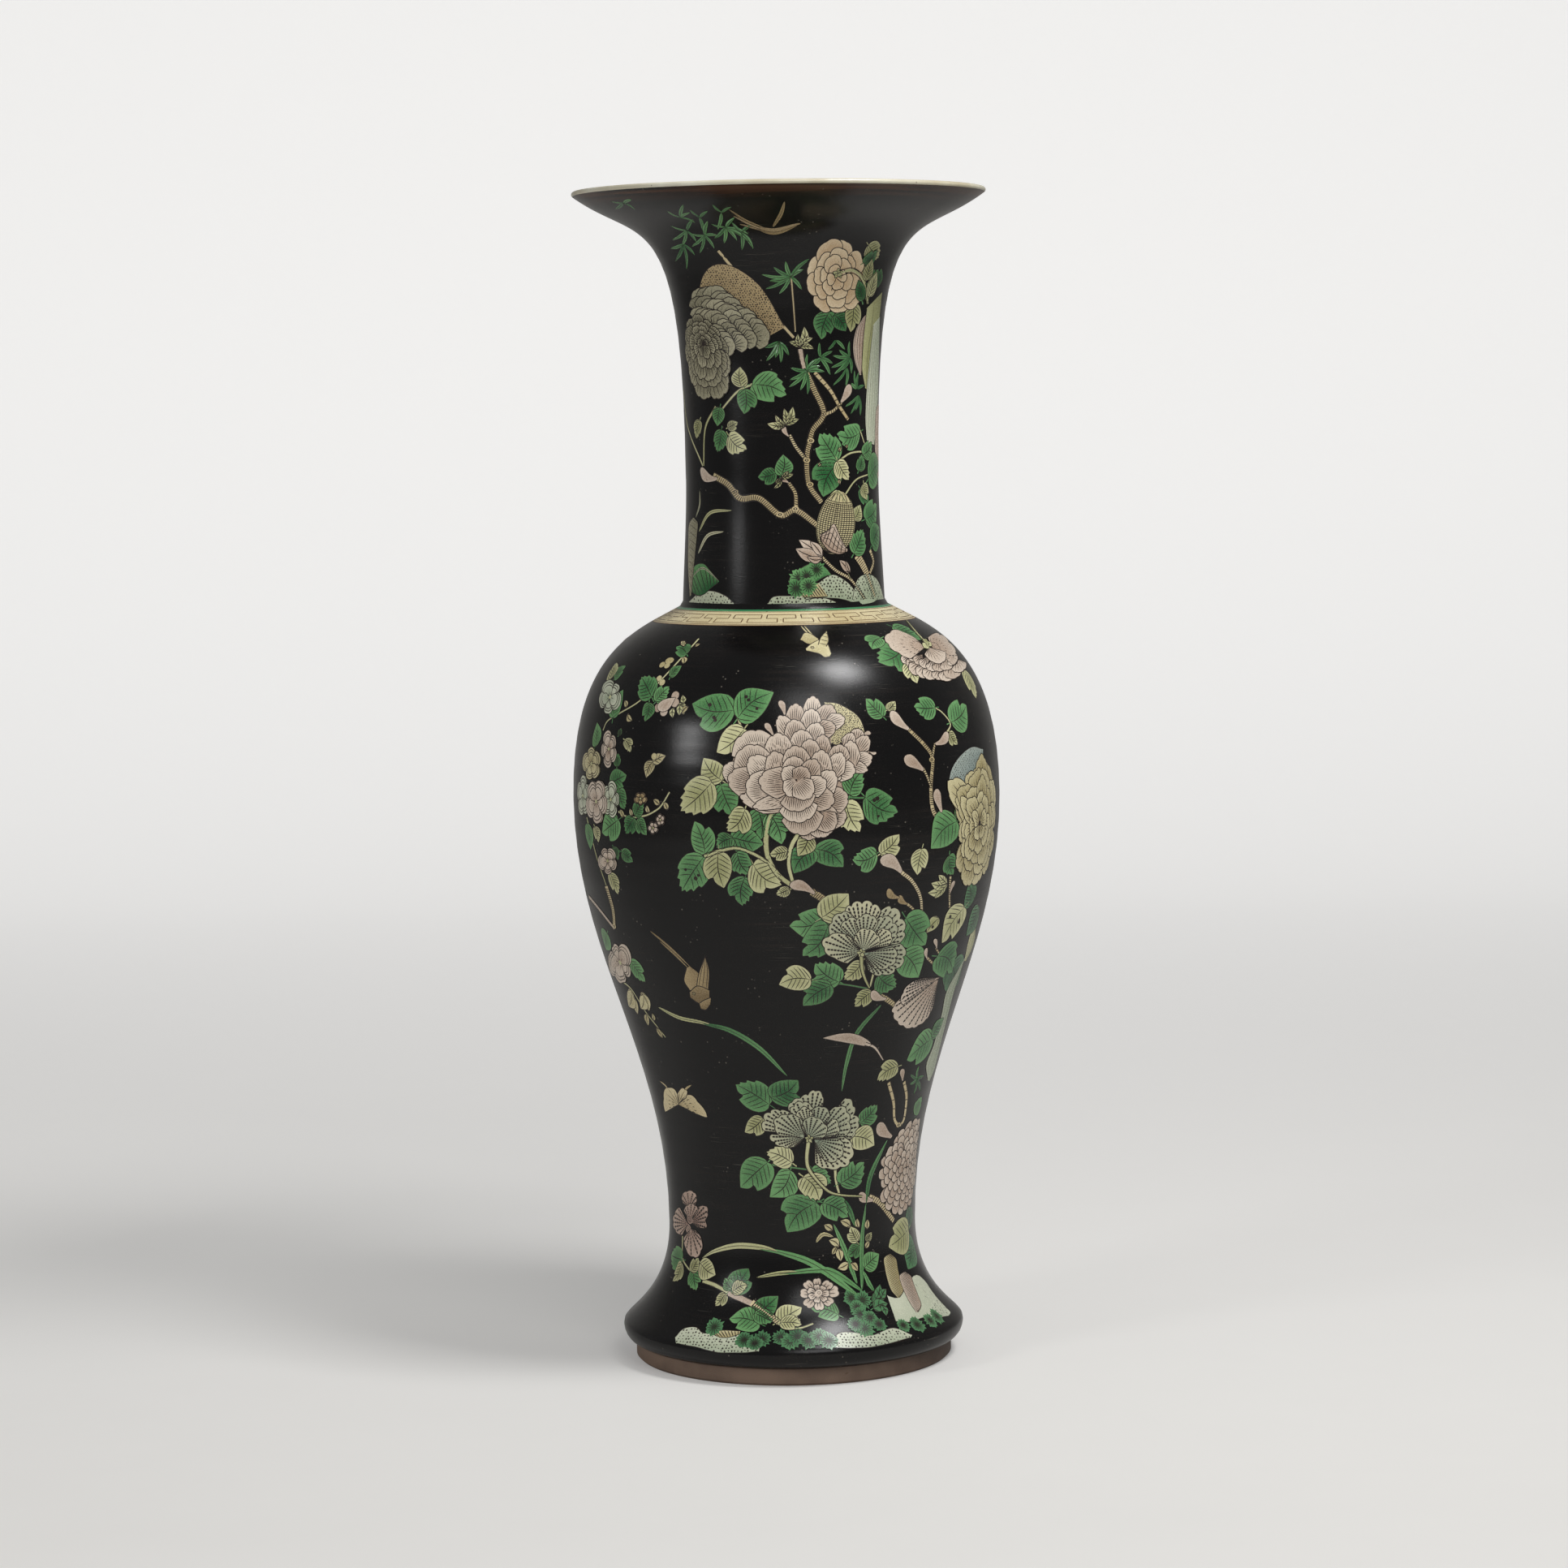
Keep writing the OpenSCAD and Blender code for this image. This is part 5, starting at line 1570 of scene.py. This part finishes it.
    # Young leaves above the buds.
    young = (((986, 428), [(991, 402), (1002, 416), (1003, 430), (972, 421), (983, 411)]),
             ((968, 524), [(977, 501), (985, 516), (945, 522), (955, 511), (966, 503), (957, 526)]),
             ((963, 590), [(978, 584), (972, 580), (953, 602), (955, 596)]),
             ((1167, 1089), [(1143, 1100), (1147, 1088), (1156, 1078), (1151, 1107)]))
    for node, tips in young:
        leaves("lime", [(*node, *tip) for tip in tips], "drop", veins=3, wide=0.9, stalk=0)


def paintBirds():
    # Shoulder bird: streamers, left wing, body, raised wing, tail lobe, eye.
    blade("straw", [(987, 771), (992, 777), (998, 782)], 0.6, vein=False)
    blade("straw", [(991, 771), (996, 777), (1002, 783)], 0.6, vein=False)
    patch("straw", [(986, 788), (991, 780), (999, 781), (1008, 787)],
          [(988, 789), (994, 793), (1001, 794), (1008, 794)])
    patch("straw", [(993, 799), (1000, 793), (1012, 788), (1020, 794), (1024, 805)],
          [(994, 802), (1003, 804), (1010, 806), (1016, 810), (1022, 809)])
    patch("straw", [(1008, 795), (1011, 786), (1018, 778)], [(1018, 797), (1021, 789), (1019, 779)],
          bands=4)
    # Belly bird: two long streamers, back, wing with quills, head and tail lobe.
    blade("tan", [(801, 1147), (826, 1168), (850, 1191)], 0.9, vein=False)
    blade("tan", [(813, 1160), (830, 1175), (848, 1193)], 0.8, vein=False)
    patch("tan", [(846, 1193), (843, 1208), (850, 1220)], [(850, 1190), (863, 1202), (862, 1219)])
    patch("tan", [(858, 1219), (861, 1200), (869, 1178)], [(873, 1219), (874, 1197), (869, 1178)], runs=3)
    patch("tan", [(850, 1222), (858, 1215), (866, 1216), (874, 1220)],
          [(851, 1229), (859, 1235), (866, 1237), (874, 1230)])
    patch("tan", [(862, 1236), (868, 1232), (876, 1229)], [(864, 1243), (870, 1244), (875, 1238)])
    rounds([(1001, 798), (855, 1224)], (("ink", 1.2), ("straw", 0.8), ("ink", 0.4)))
    # Bird under the lip.
    for points, half in (([(898, 258), (918, 271), (944, 282)], 1.0),
                         ([(904, 266), (922, 276), (946, 285)], 0.9),
                         ([(912, 276), (928, 281), (946, 286)], 0.9),
                         ([(932, 281), (956, 285), (986, 275)], 2.6),
                         ([(952, 280), (962, 264), (967, 248)], 1.8)):
        blade("tan", points, half)
    # Butterflies: a striped wing, a plain one and a round back; then striped fans from one point.
    leaves("straw", [(805, 937, 796, 959)], "oval", veins=5, stalk=0, wide=1.1)
    leaves("straw", [(804, 940, 821, 931)], "oval", veins=3, stalk=0, wide=0.9)
    rounds([(806, 932)], (("ink", 2.2), ("straw", 1.9)))
    wings = (((836, 1361), [(819, 1371), (817, 1354), (820, 1340), (830, 1341), (836, 1350)], 3, 7),
             ((836, 1361), [(842, 1350), (852, 1349), (863, 1360), (873, 1377), (854, 1371)], 3, 7),
             ((836, 1360), [(835, 1346), (841, 1340), (847, 1344), (846, 1352)], 2, 3))
    for apex, arc, lobes, lines in wings:
        fan("bark", apex, arc, lobes, lines, 0, 0.06)
    for points in ([(813, 1332), (820, 1338), (834, 1356)], [(852, 1337), (845, 1342), (838, 1356)]):
        blade("bark", points, 0.8, vein=False)


fret = {
    "units": 22,
    "line": 0.32,
    "rule": 0.3,
    "rules": (0.015, 0.1, 0.96),
    "lift": 0.02,
    "crown": 0.01,
    "path": [(0, 0.5), (0, 0.76), (0.84, 0.76), (0.84, 0.5), (0.475, 0.5), (0.475, 0.22), (1.31, 0.22),
             (1.31, 0.5), (1.0, 0.5), (1.0, 0.76)],
}


def paintFret():
    # One turn of the meander drawn as straight runs in a unit square, repeated round the band.
    low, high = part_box("key_fret_band")
    s0, s1 = sAtHeight(low.z * 1000), sAtHeight(high.z * 1000)
    path = np.array(fret["path"])
    steps = np.concatenate([np.linspace(a, b, 8)[:-1] for a, b in zip(path[:-1], path[1:])] + [path[-1:]])
    turn = 2 * math.pi / fret["units"]
    theta = (np.arange(fret["units"] // 2)[:, None] - fret["units"] / 4 + steps[None, :, 0]) * turn
    ribbon("umber", theta, np.broadcast_to(s0 + (s1 - s0) * steps[:, 1], theta.shape), fret["line"],
           fret["lift"], crown=fret["crown"])
    ring = np.linspace(-math.pi / 2, math.pi / 2, 200)[None]
    for share in fret["rules"]:
        ribbon("umber", ring, np.full_like(ring, s0 + (s1 - s0) * share), fret["rule"], fret["lift"],
               crown=fret["crown"])


paintRocks()
paintLeaves()
paintFlowers()
paintGrass()
paintBirds()
paintFret()

# Gathered strokes become two pieces per enamel and zone: the back is the same painting turned half round.


def layDown():
    total = 0
    for (kind, label), store in gathered.items():
        points = np.concatenate(store["points"]) / 1000
        faces = [face for part in store["faces"] for face in part.tolist()]
        marks = {"tone": np.concatenate(store["tone"]), "pick": np.concatenate(store["pick"])}
        for side, sign in (("Front", 1.0), ("Back", -1.0)):
            makeObject(f"{kind}{label}{side}", points * np.array([sign, sign, 1.0]), faces, enamel[kind],
                       marks)
        count = sum(len(face) - 2 for face in faces)
        total += count
        print("painted", kind, label, count, "triangles a side")
    print("painting", total, "triangles a side")


layDown()

# Studio: a pale floor that sweeps up behind, three soft boxes and a dim even surround.

studio = {
    "floor": look(226, 224, 220),
    "floorWorn": look(206, 204, 200),
    "surround": 0.21,
    "sky": 0.86,
    "sweep": {"front": -4.0, "level": 2.2, "bend": 0.8, "top": 4.0, "half": 5.0},
    "glowFrom": (-0.4, 3.0),
    "glow": (0.13, 0.6),
    "boxes": (
        {"name": "leftBox", "towards": (-0.78, -0.58, 0.22), "far": 2.0, "size": 0.4, "power": 6.0},
        {"name": "rightBox", "towards": (0.43, -0.34, 0.84), "far": 1.4, "size": 0.4, "power": 13.5},
        {"name": "frontBox", "towards": (0.25, -0.8, 0.55), "far": 2.4, "size": 1.1, "power": 13.0},
    ),
    "aim": (0.0, 0.0, 0.46),
}


def makeStudio():
    # Sweep profile: level floor, a quarter turn, then an upright back, carried along X.
    turn = np.linspace(0, math.pi / 2, 24)
    sweep = studio["sweep"]
    level, bend = sweep["level"], sweep["bend"]
    depth = np.r_[sweep["front"], level, level + bend * np.sin(turn[1:]), level + bend]
    rise = np.r_[0.0, 0.0, bend - bend * np.cos(turn[1:]), sweep["top"]]
    across = np.linspace(-sweep["half"], sweep["half"], 3)
    points = np.stack([np.broadcast_to(across[:, None], (3, len(depth))),
                       np.broadcast_to(depth, (3, len(depth))),
                       np.broadcast_to(rise, (3, len(depth)))], -1).reshape(-1, 3)
    index = np.arange(len(points)).reshape(3, -1)
    mesh = bpy.data.meshes.new("studioFloor")
    mesh.from_pydata(points, [], gridFaces(index).tolist())
    mesh.shade_smooth()
    floor = addObject("studioFloor", mesh)
    material, tree, shader, marks = startMaterial("studioPaper")
    tree.links.new(mixColour(tree, remap(tree, marks["Cloud"], 0.3, 0.7, 0.0, 0.05), studio["floor"],
                             studio["floorWorn"]), shader.inputs["Base Color"])
    shader.inputs["Roughness"].default_value = 0.7
    place = addNode(tree, "ShaderNodeSeparateXYZ",
                    {0: addNode(tree, "ShaderNodeTexCoord").outputs["Object"]})
    seen = addNode(tree, "ShaderNodeLightPath").outputs["Is Camera Ray"]
    glow = remap(tree, place.outputs["Y"], *studio["glowFrom"], *studio["glow"])
    tree.links.new(combine(tree, "MULTIPLY", glow, seen), shader.inputs["Emission Strength"])
    shader.inputs["Emission Color"].default_value = (1, 1, 1, 1)
    mesh.materials.append(material)
    for box in studio["boxes"]:
        data = bpy.data.lights.new(box["name"], "AREA")
        data.shape = "SQUARE"
        data.size = box["size"]
        data.energy = box["power"]
        lamp = addObject(box["name"], data)
        way = Vector(box["towards"]).normalized()
        lamp.location = Vector(studio["aim"]) + way * box["far"]
        lamp.rotation_euler = way.to_track_quat("Z", "Y").to_euler()
    world = bpy.data.worlds.new("studioWorld")
    world.use_nodes = True
    tree = world.node_tree
    back = tree.nodes["Background"]
    seen = addNode(tree, "ShaderNodeLightPath").outputs["Is Camera Ray"]
    level = remap(tree, seen, 0, 1, studio["surround"], studio["sky"])
    tree.links.new(addNode(tree, "ShaderNodeCombineColor", {0: level, 1: level, 2: level}).outputs[0],
                   back.inputs["Color"])
    bpy.context.scene.world = world


makeStudio()
bpy.context.scene.view_settings.view_transform = "Standard"

print("studio ready")
